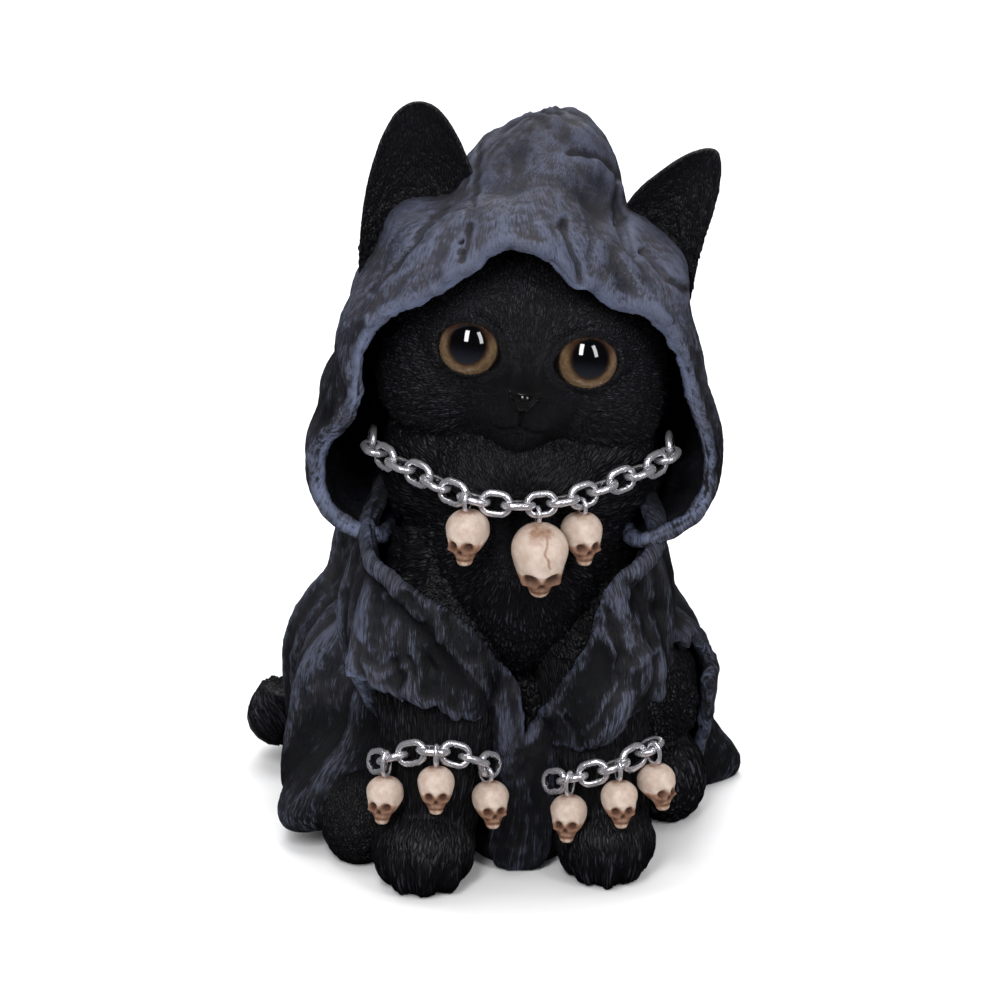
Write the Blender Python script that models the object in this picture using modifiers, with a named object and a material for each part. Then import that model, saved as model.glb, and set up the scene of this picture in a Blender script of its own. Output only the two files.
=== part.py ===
"""A hooded cat figurine of cast resin, seated, with domed eyes, a chain at the neck and a chain
round each front leg, each chain carrying three small skulls.

Metres, +Z up. The cat looks along -Y, and X runs to the right of someone who faces it. The origin
is on the flat underside, under the middle of the cat.
"""

import itertools
import math

import bmesh
import bpy
import numpy as np
from mathutils import Matrix, Vector
from mathutils.bvhtree import BVHTree

# Driving dimensions
HEIGHT = 0.157  # ground to the tip of the taller ear
CLOTH = 0.0025  # thickness of the cloak where an edge shows
EAR_WALL = 0.0030  # thickness of an ear
EYE_RADIUS = 0.0070  # the ball that each domed eye is the front of
EYE_CLEARANCE = 0.0003  # round each eye in its socket
WIRE = 0.0015  # thickness of a chain link's wire
LINK_LENGTH = 0.0072  # outside, end to end
LINK_WIDTH = 0.0056  # outside, side to side
RING_RADIUS = 0.0015  # of the small ring that a skull hangs by, to the middle of its wire
RING_WIRE = 0.0009
SINK_TRIES = 6
SINK_STEP = 0.00015  # how much deeper a ring is sunk in its skull at each further try
SKULL_WIDTH = 0.0076  # of the eight small skulls
BIG_SKULL_WIDTH = 0.0116  # of the middle skull at the neck
SKULL_ROOM = 0.9  # how far apart neighbouring skulls hang, as a share of their widths
CROWDING_COST = 100  # room between skulls counts this much more than their own places
RING_SLIDE = 0.0008  # how far along its link a ring may lie
REST_GAP = 0.0003  # between the figure and what lies on it
FAR = 0.05  # well clear of the figure
FIGURE_FACES = 4600
FINER_TRIES = 8
FINER_STEP = 90
FACE_CARE = 0.3  # how much more of the detail the front keeps than the back
SKULL_FACES = 110
EYE_SEGMENTS = 16
LINK_SEGMENTS = (10, 4)
RING_SEGMENTS = (8, 4)

# The sculptor's module: every place, pose and proportion below is in 157ths of the height
M = HEIGHT / 157

FINENESS = 1.1 * M  # grain of the modelled clay before it is simplified

# Finishes: colour, roughness, metallic
PAINTED_RESIN = ((0.020, 0.024, 0.036), 0.55, 0.0)
AMBER_EYE = ((0.26, 0.15, 0.04), 0.05, 0.0)
SILVER_PAINT = ((0.62, 0.62, 0.64), 0.32, 0.9)
BONE_PAINT = ((0.78, 0.62, 0.45), 0.45, 0.0)


def smooth_step(x):
    """0 below 0, 1 above 1, with a soft start and end."""
    x = np.clip(x, 0, 1)
    return x * x * (3 - 2 * x)


def smooth_curve(x, table):
    """A smooth curve through the (x, value) pairs of a table."""
    knots = np.array([row[0] for row in table], float)
    values = np.array([row[1] for row in table], float)
    slopes = np.gradient(values, knots)
    i = np.clip(np.searchsorted(knots, x) - 1, 0, len(knots) - 2)
    span = knots[i + 1] - knots[i]
    t = np.clip((x - knots[i]) / span, 0, 1)
    a, b = values[i], values[i + 1]
    # A slope of at most the steps beside it keeps the curve between its points
    rise = (b - a) / span
    before = np.where(slopes[i] * rise > 0, np.sign(rise) * np.minimum(abs(slopes[i]), 3 * abs(rise)), 0)
    after = np.where(slopes[i + 1] * rise > 0, np.sign(rise) * np.minimum(abs(slopes[i + 1]), 3 * abs(rise)), 0)
    h00 = (1 + 2 * t) * (1 - t) ** 2
    h10 = t * (1 - t) ** 2
    h01 = t * t * (3 - 2 * t)
    h11 = t * t * (t - 1)
    return h00 * a + h10 * span * before + h01 * b + h11 * span * after


def bump(x, centre, width):
    """1 at the centre, falling to nothing about two widths away."""
    return np.exp(-(((x - centre) / width) ** 2))


def way_out(origin, direction, centre, radii):
    """How far it is along a direction from a point to the far side of an ellipsoid, or 0."""
    o = (origin - np.array(centre)) / np.array(radii)
    d = direction / np.array(radii)
    a = (d * d).sum(-1)
    b = (o * d).sum(-1)
    c = (o * o).sum(-1) - 1
    root = b * b - a * c
    return np.where(root > 0, (-b + np.sqrt(np.maximum(root, 0))) / a, 0)


def cover(origin, direction, forms, softness):
    """How far out cloth lies when it is laid over several rounded forms."""
    reach = np.stack([way_out(origin, direction, *form) for form in forms])
    return softness * np.log(np.exp(reach / softness).sum(0))


# The cloak

HOOD_MIDDLE = np.array((4.0, -6.0, 108.0))
HOOD_FORMS = (
    ((4.0, -5.0, 112.0), (34.5, 33.0, 27.5)),  # over the skull
    ((9.0, 2.0, 133.0), (17.5, 19.0, 17.0)),  # the slack crown
    ((3.0, -5.0, 90.0), (40.0, 35.0, 26.0)),  # over the neck, where it flares
)
# The hood's front edge, from its left corner over the brow to its right corner
HOOD_RIM = (
    (0.0, 6.0, 66.0),
    (-20.0, -8.0, 70.0),
    (-27.0, -31.0, 73.0),
    (-33.0, -32.0, 76.5),
    (-37.0, -31.0, 83.0),
    (-36.5, -31.0, 91.0),
    (-32.0, -33.5, 96.5),
    (-29.0, -35.0, 103.0),
    (-28.5, -34.5, 112.0),
    (-23.5, -35.5, 119.5),
    (-14.0, -38.5, 125.0),
    (-6.0, -40.0, 131.0),
    (1.5, -40.5, 136.0),
    (9.0, -40.0, 134.0),
    (15.5, -39.0, 128.0),
    (20.5, -37.5, 123.0),
    (29.0, -35.0, 119.0),
    (35.5, -32.5, 111.5),
    (39.0, -31.5, 102.0),
    (42.0, -31.0, 92.0),
    (42.5, -31.0, 84.0),
    (39.0, -32.0, 77.0),
    (31.0, -33.5, 73.0),
    (22.0, -8.0, 70.0),
    (0.0, 6.0, 66.0),
)
HOOD_BACK = math.radians(176)  # how far round towards the back its side lines run
HOOD_SAG = math.radians(38)  # how far the back of the hood drops towards the shoulders
HOOD_STEPS = (190, 70)

ROBE_FORMS = (
    ((2.0, -13.0, 64.0), (31.0, 26.0, 25.0)),  # shoulders
    ((-14.5, -27.0, 52.0), (14.5, 16.5, 30.0)),  # over the left foreleg
    ((19.0, -24.0, 52.0), (13.5, 16.0, 30.0)),  # over the right foreleg
    ((4.0, -14.0, 24.0), (12.0, 18.5, 40.0)),  # between the forelegs
    ((-2.0, 12.0, 52.0), (31.5, 30.0, 40.0)),  # back
    ((-22.0, 6.0, 26.0), (22.5, 25.0, 27.5)),  # left haunch
    ((22.0, 13.0, 26.0), (21.5, 25.0, 26.5)),  # right haunch
    ((-8.0, 24.0, 18.0), (34.0, 28.0, 30.0)),  # rump
)
ROBE_TOP = 88.0
ROBE_FLARE = 4.5  # how far the hem stands out at the ground
# The two front edges: height above the ground, and degrees from straight ahead
LEFT_LAPEL = (
    (0, 3), (24, 3), (29, 2.8), (35, 2), (42, -0.5), (48, -6.5), (53, -10), (61, -20), (65, -28), (69, -38), (73, -47),
    (77, -56), (88, -75),
)
RIGHT_LAPEL = (
    (0, 3.6), (24, 3.8), (29, 5), (32, 10.5), (36, 13.5), (40, 15.5), (45, 18), (50.5, 21.4), (54, 24), (60, 25.6),
    (66, 30.4), (71, 46), (77, 58), (88, 76),
)
# The rolled crest beside each front edge, in the same way
LEFT_CREST = ((0, -2), (22, -2), (28, -2.2), (35, -3), (42, -5), (49, -10.5), (53, -14), (61, -23), (65, -31), (70, -42), (88, -78))
RIGHT_CREST = (
    (0, 14), (24, 19), (31, 21.4), (34.6, 25.6), (37.6, 27), (40.7, 29.2), (46, 33), (50.5, 32.5), (54, 31.3),
    (57, 31), (62, 29), (66, 33), (71, 49), (88, 79),
)
# The hem: degrees from straight ahead, left round the back to the right, and height above the ground
HEM = (
    (-357, 0),
    (-349, 0),
    (-344.5, 3),
    (-342.5, 12),
    (-340.5, 24),
    (-338.6, 31),
    (-330.5, 37.5),
    (-321, 41),
    (-317, 43),
    (-310, 41.8),
    (-302, 42.5),
    (-286, 40),
    (-273, 39.5),
    (-267, 32),
    (-264.5, 23),
    (-262, 4),
    (-258, 0),
    (-250, 0),
    (-220, 1),
    (-190, 0),
    (-160, 1),
    (-143, 2),
    (-132, 14),
    (-120, 11),
    (-111, 1),
    (-95, 0),
    (-79, 0),
    (-61, 0),
    (-57.5, 3),
    (-54.8, 11),
    (-52.5, 19),
    (-51, 25),
    (-50, 36),
    (-48, 43),
    (-43, 45),
    (-35, 46),
    (-29, 44),
    (-17, 40),
    (-12.3, 36),
    (-8.5, 30),
    (-7.0, 18),
    (-6.0, 2),
    (-2, 0),
    (6, 0),
)
ROBE_STEPS = (300, 70)
FOLD_DEPTH = 1.3  # how deep the folds are cut in all
# Folds that run down the robe: angle at the top, angle at the hem, width in degrees, depth
ROBE_FOLDS = (
    (-24, -26, 3.5, 1.8),
    (-40, -44, 4.0, 2.2),
    (-58, -60, 5.0, 2.2),
    (-78, -80, 6.0, 2.4),
    (-92, -98, 5.0, -1.6),
    (-104, -112, 6.0, 2.2),
    (-128, -146, 7.0, 2.8),
    (-150, -163, 5.0, -1.8),
    (-160, -180, 7.0, 3.0),
    (-182, -203, 6.0, 2.4),
    (-205, -222, 6.0, -1.8),
    (-214, -236, 7.0, 2.6),
    (-262, -266, 6.0, 1.8),
    (-300, -300, 6.0, 2.4),
    (-316, -320, 4.0, 1.6),
    (-326, -331, 3.0, -1.2),
)


def robe_angle(u, z):
    """Degrees from straight ahead, from the left front edge back round to the right one."""
    left = smooth_curve(z, LEFT_LAPEL)
    right = smooth_curve(z, RIGHT_LAPEL)
    return left - u * (360 - (right - left))


def robe_radius(theta, z):
    """How far the robe lies from its axis, in modules, at an angle in degrees and a height."""
    turn = np.radians(theta)
    heading = np.stack([np.sin(turn), -np.cos(turn), np.zeros_like(turn)], -1)
    axis = np.stack([2 + z * 0.01, 2 - z * 0.10, z], -1)
    radius = cover(axis, heading, ROBE_FORMS, 2.2)
    low = np.clip(1 - z / 26, 0, 1)
    radius = radius + ROBE_FLARE * low**2
    for top, foot, width, depth in ROBE_FOLDS:
        middle = foot + (top - foot) * z / 80
        spread = width * (0.6 + 0.4 * low)
        grow = smooth_step((86 - z) / 50)
        radius = radius + FOLD_DEPTH * depth * grow * bump(theta, middle, spread)
    # The corner that trails on the ground at the back right
    radius = radius + 21 * bump(theta, -247, 8) * np.clip(1 - z / 21, 0, 1) ** 1.5
    # The fold of hem that stands out at the front left
    radius = radius + 22 * bump(theta, -64, 12) * smooth_step(np.clip(1 - z / 28, 0, 1))
    # Beside both front edges the cloth rolls into a crest, and the edge itself turns in again
    left = smooth_curve(z, LEFT_CREST)
    right = smooth_curve(z, RIGHT_CREST)
    held = smooth_step((z - 12) / 16)
    radius = radius + 3.4 * bump(theta, left, 3.6) * held
    radius = radius + 4.2 * bump(theta + 360, right, 4.2) * held
    radius = radius - 1.6 * bump(theta + 360, right + 8.5, 3.5) * bump(z, 60, 9)
    # The left front edge swings across the chest to hang between the forelegs
    radius = radius + 4.0 * bump(theta, -9, 10) * bump(z, 42, 15)
    radius = radius + 2.5 * bump(theta, -336, 8) * bump(z, 34, 10)
    # The sleeves flare over the forelegs
    sleeve = bump(theta, -38, 17) + bump(theta, -322, 14)
    radius = radius + 2.8 * sleeve * bump(z, 44, 9)
    # The outer edge of each sleeve stands out from the cloth behind it
    radius = radius + 2.6 * bump(theta, -60, 3.4) * bump(z, 48, 16)
    radius = radius + 2.4 * bump(theta, -308, 3.6) * bump(z, 54, 13)
    # The cloth over the right haunch stands off it in a deep fold
    radius = radius + 3.5 * bump(theta, -270, 7) * bump(z, 38, 12)
    return radius, axis, heading


def robe_point(u, t):
    nominal = robe_angle(u, 30.0 + 0 * u)
    hem = smooth_curve(nominal, HEM)
    ragged = 1.1 * np.sin(nominal * 1.3) + 0.8 * np.sin(nominal * 3.1 + 1)
    hem = hem + ragged * smooth_step(hem / 8)
    z = ROBE_TOP + t * (hem - ROBE_TOP)
    radius, axis, heading = robe_radius(robe_angle(u, z), z)
    return axis + heading * radius[..., None]


def along(points, u):
    """Points along a smooth open curve through the given ones, at shares u of its length."""
    points = np.array(points, float)
    steps = np.concatenate([[0], np.cumsum(np.linalg.norm(np.diff(points, axis=0), axis=1))])
    steps /= steps[-1]
    columns = [smooth_curve(u, list(zip(steps, points[:, k]))) for k in range(3)]
    return np.stack(columns, -1)


def hood_point(u, v):
    """The hood from its front edge, v = 0, to the nape, v = 1."""
    rim = along(HOOD_RIM, u) - HOOD_MIDDLE
    reach = np.linalg.norm(rim, axis=-1)
    start = rim / reach[..., None]
    around = np.arctan2(start[..., 0], start[..., 2])
    opening = np.arccos(np.clip(-start[..., 1], -1, 1))
    tilt = opening + (HOOD_BACK - opening) * v
    sag = HOOD_SAG * v**1.5
    ahead = -np.cos(tilt)
    upward = np.sin(tilt) * np.cos(around)
    heading = np.stack(
        [np.sin(tilt) * np.sin(around), ahead * np.cos(sag) + upward * np.sin(sag), upward * np.cos(sag) - ahead * np.sin(sag)],
        -1,
    )
    draped = cover(np.broadcast_to(HOOD_MIDDLE, heading.shape), heading, HOOD_FORMS, 2.0)
    hold = smooth_step(v / 0.30)
    radius = reach * (1 - hold) + draped * hold
    # Soft folds that run back from the front edge, and one deep crease on the crown's right
    turn = np.degrees(around)
    falls = 1.1 * np.sin(np.radians(turn * 7) + 2 * v) + 0.7 * np.sin(np.radians(turn * 13) - 3 * v)
    radius = radius + falls * smooth_step(v / 0.25) * smooth_step((1 - v) / 0.4)
    radius = radius - 2.6 * bump(turn, 30 + 22 * v, 7) * bump(v, 0.42, 0.16)
    radius = radius + 1.8 * bump(turn, 16 + 14 * v, 8) * bump(v, 0.42, 0.2)
    return HOOD_MIDDLE + heading * radius[..., None]


# The cat, in modules

HEAD_MIDDLE = Vector((5.2, -14.0, 109.0))
HEAD_ROLL = math.radians(7)
HEAD_RADII = (29.0, 25.5, 27.0)
HEAD_SWELLS = (
    ((-0.80, -0.42, -0.40), 24, 4.5),  # cheeks
    ((0.80, -0.42, -0.40), 24, 4.5),
    ((-0.15, -1.0, -0.30), 10, 3.6),  # muzzle pads
    ((0.15, -1.0, -0.30), 10, 3.6),
    ((0.0, -1.0, -0.10), 7, 4.4),  # nose
    ((0.0, -1.0, 0.12), 9, 1.6),  # bridge
    ((0.0, -0.95, -0.56), 10, 3.4),  # chin
    ((-0.38, -0.9, 0.42), 14, 2.4),  # brows
    ((0.38, -0.9, 0.42), 14, 2.4),
    ((-0.50, -0.93, 0.08), 11, -2.6),  # eye hollows
    ((0.50, -0.93, 0.08), 11, -2.6),
)
EYE_SIDE = 11.6  # each eye's centre from the middle of the face
EYE_RISE = 3.4
EYE_FORWARD = 19.2
EYE_BACK = 1.5  # how far behind that centre the eye's flat back lies
EYE_TURN = 9  # degrees each eye turns outwards

# Ears: the outer and inner end of the base, the tip, and the pull on each side's curve
EARS = (
    ((-28.5, -7.0, 113.0), (-4.0, -5.0, 134.0), (-17.0, -5.0, 156.2), (-29.5, -9.0, 148.5), (-7.0, -4.0, 156.0)),
    ((37.0, -4.0, 111.0), (23.5, -3.0, 131.5), (44.5, -2.5, 146.2), (47.0, -4.0, 136.0), (32.0, -2.0, 148.0)),
)

# Rounded masses of the body: middle and radii
BODY_FORMS = (
    ((3.0, -16.0, 66.0), (23.5, 24.0, 28.0)),  # chest
    ((3.5, -20.0, 86.0), (21.0, 21.0, 16.0)),  # throat
    ((4.0, -13.0, 81.0), (30.0, 22.0, 16.5)),  # ruff under the hood
    ((4.5, -15.0, 88.5), (28.5, 21.5, 14.5)),  # ruff under the cheeks
    ((5.5, -13.0, 22.0), (11.0, 15.0, 36.0)),  # belly fur between the forelegs
    ((-1.0, 6.0, 44.0), (29.0, 28.0, 40.0)),  # trunk
    ((-21.0, 5.0, 22.0), (21.0, 23.0, 25.0)),  # left haunch
    ((21.0, 11.0, 23.0), (19.0, 22.0, 24.0)),  # right haunch
    ((-8.0, 22.0, 16.0), (31.0, 26.0, 26.0)),  # rump
    ((-15.8, -38.5, 7.0), (10.6, 14.0, 10.4)),  # left forepaw
    ((21.8, -34.0, 7.0), (10.4, 13.0, 10.4)),  # right forepaw
    ((-29.5, -21.0, 7.5), (8.2, 13.5, 10.6)),  # left hind paw
    ((36.0, 2.0, 7.5), (8.2, 13.0, 10.4)),  # right hind paw
)
# Legs and tail: points along the middle, each with a radius
LIMBS = (
    (((-9.0, -18.0, 68.0), 15.0), ((-12.0, -26.5, 48.0), 13.8), ((-13.0, -32.0, 28.0), 12.4), ((-15.4, -36.0, 8.0), 9.8)),
    (((14.0, -16.0, 68.0), 14.0), ((18.0, -24.0, 48.0), 12.0), ((20.5, -29.5, 27.0), 10.4), ((21.7, -32.5, 8.0), 9.6)),
    (((-16.0, 44.0, 8.0), 7.6), ((-38.0, 41.0, 8.0), 7.2), ((-49.0, 33.0, 8.5), 6.6), ((-49.0, 25.5, 13.0), 6.0), ((-47.5, 24.5, 19.5), 4.6)),
)
BASE_DEPTH = 6.0  # how far the clay runs below the ground before it is cut flat
BASE_INSET = 2.5  # the closed underside stays this far inside the robe


def ear_point(ear, u, t):
    """An ear from its base to its tip, cupped towards the front."""
    outer, inner, tip, outer_pull, inner_pull = (np.array(p, float) for p in ear)
    t = t[..., None]
    one_side = (1 - t) ** 2 * outer + 2 * t * (1 - t) * outer_pull + t * t * tip
    other_side = (1 - t) ** 2 * inner + 2 * t * (1 - t) * inner_pull + t * t * tip
    u = u[..., None]
    backwards = np.array((0.0, 1.0, 0.1))
    cup = 6.5 * 4 * u * (1 - u) * (1 - t**2)
    return one_side * (1 - u) + other_side * u + backwards * cup


# Chains: the axis they go round, heights along them, degrees from and to, distance from the fur
CHAINS = {
    "neck_chain": {
        "axis": (3.5, -22.0),
        "heights": ((0, 90.0), (0.15, 88.0), (0.3, 85.0), (0.5, 83.0), (0.7, 84.0), (0.85, 86.5), (1, 89.0)),
        "turns": (-96, 94),
        "clearance": 3.0,
    },
    "bracelet_left_chain": {
        "axis": (-13.5, -32.0),
        "heights": ((0, 26.5), (0.5, 31.5), (1, 26.0)),
        "turns": (-58, 56),
        "clearance": 3.0,
    },
    "bracelet_right_chain": {
        "axis": (20.5, -29.5),
        "heights": ((0, 22.0), (0.5, 26.0), (1, 29.0)),
        "turns": (-44, 52),
        "clearance": 3.0,
    },
}
LINK_OVERLAP = 0.0004  # neighbouring links sink this far into each other
LINK_LEAN = 10  # degrees a link leans from lying flat; the next stands a quarter turn from it

# Skulls: chain, place across, width, degrees turned to the side, degrees tipped forwards
SKULLS = {
    "neck_skull_left": ("neck_chain", -6.6, SKULL_WIDTH * 1.15, -24, 0),
    "neck_skull_centre": ("neck_chain", 6.0, BIG_SKULL_WIDTH, 6, 34),
    "neck_skull_right": ("neck_chain", 15.4, SKULL_WIDTH * 1.1, 24, 0),
    "bracelet_left_skull_outer": ("bracelet_left_chain", -23.2, SKULL_WIDTH, -18, -8),
    "bracelet_left_skull_middle": ("bracelet_left_chain", -12.4, SKULL_WIDTH, 0, -8),
    "bracelet_left_skull_inner": ("bracelet_left_chain", -3.6, SKULL_WIDTH, 14, -8),
    "bracelet_right_skull_inner": ("bracelet_right_chain", 14.2, SKULL_WIDTH, -12, -8),
    "bracelet_right_skull_middle": ("bracelet_right_chain", 24.2, SKULL_WIDTH, 10, -8),
    "bracelet_right_skull_outer": ("bracelet_right_chain", 31.0, SKULL_WIDTH, 42, -8),
}
# Height and reach of a skull from its crown to its jaw, against the angle from straight up
SKULL_PROFILE = (
    (0, 0.98, 0.0),
    (25, 0.90, 0.50),
    (50, 0.62, 0.84),
    (75, 0.26, 0.99),
    (95, -0.08, 1.0),
    (112, -0.36, 0.93),
    (124, -0.60, 0.82),
    (135, -0.80, 0.69),
    (147, -1.0, 0.52),
    (160, -1.26, 0.40),
    (170, -1.46, 0.32),
    (176, -1.55, 0.20),
    (180, -1.57, 0.0),
)


# Making things


def clear_scene():
    for old in list(bpy.data.objects):
        bpy.data.objects.remove(old, do_unlink=True)


def collection(name):
    made = bpy.data.collections.new(name)
    bpy.context.scene.collection.children.link(made)
    return made


def material(name, finish):
    colour, roughness, metallic = finish
    made = bpy.data.materials.new(name)
    made.use_nodes = True
    shader = made.node_tree.nodes["Principled BSDF"]
    shader.inputs["Base Color"].default_value = (*colour, 1)
    shader.inputs["Roughness"].default_value = roughness
    shader.inputs["Metallic"].default_value = metallic
    return made


def evaluated_mesh(obj):
    """The object's mesh with its modifiers applied, in world space."""
    bpy.context.view_layer.update()
    graph = bpy.context.evaluated_depsgraph_get()
    mesh = bpy.data.meshes.new_from_object(obj.evaluated_get(graph))
    mesh.transform(obj.matrix_world)
    return mesh


def object_from(name, mesh, into):
    obj = bpy.data.objects.new(name, mesh)
    into.objects.link(obj)
    return obj


def consumed(obj):
    """The object's final mesh, with the object itself removed."""
    mesh = evaluated_mesh(obj)
    bpy.data.objects.remove(obj, do_unlink=True)
    return mesh


def sheet(point, steps, thickness, into):
    """A bent sheet of even thickness, from a function of two shares that gives places in modules."""
    across, down = steps
    u, v = np.meshgrid(np.linspace(0, 1, across), np.linspace(0, 1, down), indexing="ij")
    places = point(u, v).reshape(-1, 3) * M
    bm = bmesh.new()
    corners = [bm.verts.new(place) for place in places]
    for i in range(across - 1):
        for j in range(down - 1):
            a = i * down + j
            bm.faces.new((corners[a], corners[a + 1], corners[a + down + 1], corners[a + down]))
    bmesh.ops.remove_doubles(bm, verts=bm.verts, dist=1e-5)
    bmesh.ops.recalc_face_normals(bm, faces=bm.faces)
    mesh = bpy.data.meshes.new("sheet")
    bm.to_mesh(mesh)
    bm.free()
    obj = object_from("sheet", mesh, into)
    wall = obj.modifiers.new("wall", "SOLIDIFY")
    wall.thickness = thickness
    wall.offset = 0
    wall.use_even_offset = False
    return obj


def ball(centre, radii, into, segments=48, rings=32):
    bpy.ops.mesh.primitive_uv_sphere_add(segments=segments, ring_count=rings, radius=1)
    obj = bpy.context.object
    for place in list(obj.users_collection):
        place.objects.unlink(obj)
    into.objects.link(obj)
    obj.data.transform(Matrix.LocRotScale(Vector(centre), None, Vector(radii)))
    return obj


def limb(points, into):
    """A tapering tube through points that each have a radius, with round ends of its own."""
    data = bpy.data.curves.new("limb", "CURVE")
    data.dimensions = "3D"
    data.bevel_depth = 1.0
    data.bevel_resolution = 6
    data.use_fill_caps = True
    spline = data.splines.new("NURBS")
    spline.points.add(len(points) - 1)
    for knot, (place, radius) in zip(spline.points, points):
        knot.co = (*(Vector(place) * M), 1)
        knot.radius = radius * M
    spline.use_endpoint_u = True
    spline.order_u = 3
    spline.resolution_u = 10
    obj = object_from("limb", data, into)
    mesh = consumed(obj)
    return object_from("limb", mesh, into)


def head_axes():
    return Matrix.LocRotScale(HEAD_MIDDLE * M, Matrix.Rotation(HEAD_ROLL, 3, "Y"), None)


def head(into):
    """The head, a ball swollen and hollowed in named directions."""
    obj = ball((0, 0, 0), (1, 1, 1), into, 96, 64)
    directions = np.array([v.co for v in obj.data.vertices])
    directions /= np.linalg.norm(directions, axis=1)[:, None]
    places = directions * np.array(HEAD_RADII)
    for towards, width, height in HEAD_SWELLS:
        towards = np.array(towards) / np.linalg.norm(towards)
        apart = np.degrees(np.arccos(np.clip(directions @ towards, -1, 1)))
        places = places + directions * (height * bump(apart, 0, width))[:, None]
    obj.data.vertices.foreach_set("co", (places * M).ravel())
    obj.data.transform(head_axes())
    return obj


def base_slab(into):
    """The closed underside: the robe's outline at the ground, a little inside the cloth."""
    theta = np.linspace(-356, -1, 160)
    radius, axis, heading = robe_radius(theta, np.zeros_like(theta))
    outline = (axis + heading * (radius - BASE_INSET)[:, None]) * M
    bm = bmesh.new()
    corners = [bm.verts.new((x, y, -BASE_DEPTH * M)) for x, y, _ in outline]
    face = bm.faces.new(corners)
    raised = bmesh.ops.extrude_face_region(bm, geom=[face])
    tops = [v for v in raised["geom"] if isinstance(v, bmesh.types.BMVert)]
    bmesh.ops.translate(bm, vec=(0, 0, (BASE_DEPTH + 2.5) * M), verts=tops)
    bmesh.ops.recalc_face_normals(bm, faces=bm.faces)
    mesh = bpy.data.meshes.new("base")
    bm.to_mesh(mesh)
    bm.free()
    return object_from("base", mesh, into)


def ears(into):
    return [sheet(lambda u, t, ear=ear: ear_point(ear, u, t), (24, 24), EAR_WALL, into) for ear in EARS]


def cloak(into):
    hood = sheet(hood_point, HOOD_STEPS, CLOTH, into)
    robe = sheet(robe_point, ROBE_STEPS, CLOTH, into)
    return [hood, robe]


def body(into):
    masses = [ball(Vector(c) * M, Vector(r) * M, into) for c, r in BODY_FORMS]
    return masses + [limb(points, into) for points in LIMBS]


def joined(name, objects, into):
    """Loose closed forms as one mesh object, with every modifier applied."""
    bm = bmesh.new()
    for obj in objects:
        mesh = consumed(obj)
        bm.from_mesh(mesh)
        bpy.data.meshes.remove(mesh)
    mesh = bpy.data.meshes.new(name)
    bm.to_mesh(mesh)
    bm.free()
    return object_from(name, mesh, into)


def cut_flat(mesh):
    """Takes away what lies below the ground and closes the underside."""
    bm = bmesh.new()
    bm.from_mesh(mesh)
    everything = list(bm.verts) + list(bm.edges) + list(bm.faces)
    bmesh.ops.bisect_plane(bm, geom=everything, dist=1e-7, plane_co=(0, 0, 0), plane_no=(0, 0, 1), clear_inner=True)
    rim = [edge for edge in bm.edges if edge.is_boundary]
    bmesh.ops.holes_fill(bm, edges=rim, sides=0)
    bmesh.ops.triangulate(bm, faces=bm.faces)
    bm.to_mesh(mesh)
    bm.free()


def figure(into, workshop):
    """Cat and cloak, one casting: loose forms fused by a voxel remesh, smoothed and simplified."""
    clay = joined("clay", cloak(workshop) + ears(workshop) + [head(workshop), base_slab(workshop)] + body(workshop), workshop)
    fuse = clay.modifiers.new("fuse", "REMESH")
    fuse.mode = "VOXEL"
    fuse.voxel_size = FINENESS
    settle = clay.modifiers.new("settle", "SMOOTH")
    settle.factor = 0.5
    settle.iterations = 3
    cast = consumed(clay)
    keep_largest(cast)
    places = np.array([vertex.co for vertex in cast.vertices]) / M
    face = np.linalg.norm((places - np.array(HEAD_MIDDLE) - (0, -24, -4)) / (24, 14, 20), axis=1)
    weights = 0.08 + 0.30 * smooth_step((14 - places[:, 1]) / 30) + 0.62 * bump(face, 0, 0.9)
    # A little finer each time, until the simplified casting closes without a pinched edge
    for spare in range(FINER_TRIES):
        mesh = simplified(cast.copy(), weights, FIGURE_FACES + spare * FINER_STEP, workshop)
        if sound(mesh):
            break
    bpy.data.meshes.remove(cast)
    for old in list(workshop.objects):
        bpy.data.objects.remove(old, do_unlink=True)
    return object_from("figure", mesh, into)


def simplified(cast, weights, faces, workshop):
    """The casting with about so many triangles, its underside flat and its eye sockets cut."""
    obj = object_from("casting", cast, workshop)
    simplify = obj.modifiers.new("simplify", "DECIMATE")
    simplify.use_collapse_triangulate = True
    simplify.ratio = faces / sum(len(face.vertices) - 2 for face in cast.polygons)
    fine = obj.vertex_groups.new(name="fine")
    for index, weight in enumerate(weights):
        fine.add([index], float(weight), "REPLACE")
    simplify.vertex_group = "fine"
    simplify.invert_vertex_group = True
    simplify.vertex_group_factor = FACE_CARE
    mesh = consumed(obj)
    cut_flat(mesh)
    made = object_from("cut casting", mesh, workshop)
    for side in (-1, 1):
        cutter = eye(side, EYE_CLEARANCE, workshop)
        cut = made.modifiers.new("socket", "BOOLEAN")
        cut.operation = "DIFFERENCE"
        cut.solver = "EXACT"
        cut.object = cutter
    mesh = consumed(made)
    tidy(mesh)
    return mesh


def sound(mesh):
    """Whether every edge has just two faces, and every corner just one ring of them."""
    bm = bmesh.new()
    bm.from_mesh(mesh)
    closed = all(edge.is_manifold for edge in bm.edges) and all(vertex.is_manifold for vertex in bm.verts)
    bm.free()
    return closed


def tidy(mesh):
    """Plain triangles, with no slivers and nothing loose."""
    bm = bmesh.new()
    bm.from_mesh(mesh)
    bmesh.ops.remove_doubles(bm, verts=bm.verts, dist=2e-6)
    bmesh.ops.dissolve_degenerate(bm, edges=bm.edges, dist=2e-6)
    bmesh.ops.triangulate(bm, faces=bm.faces)
    bm.to_mesh(mesh)
    bm.free()


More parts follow.
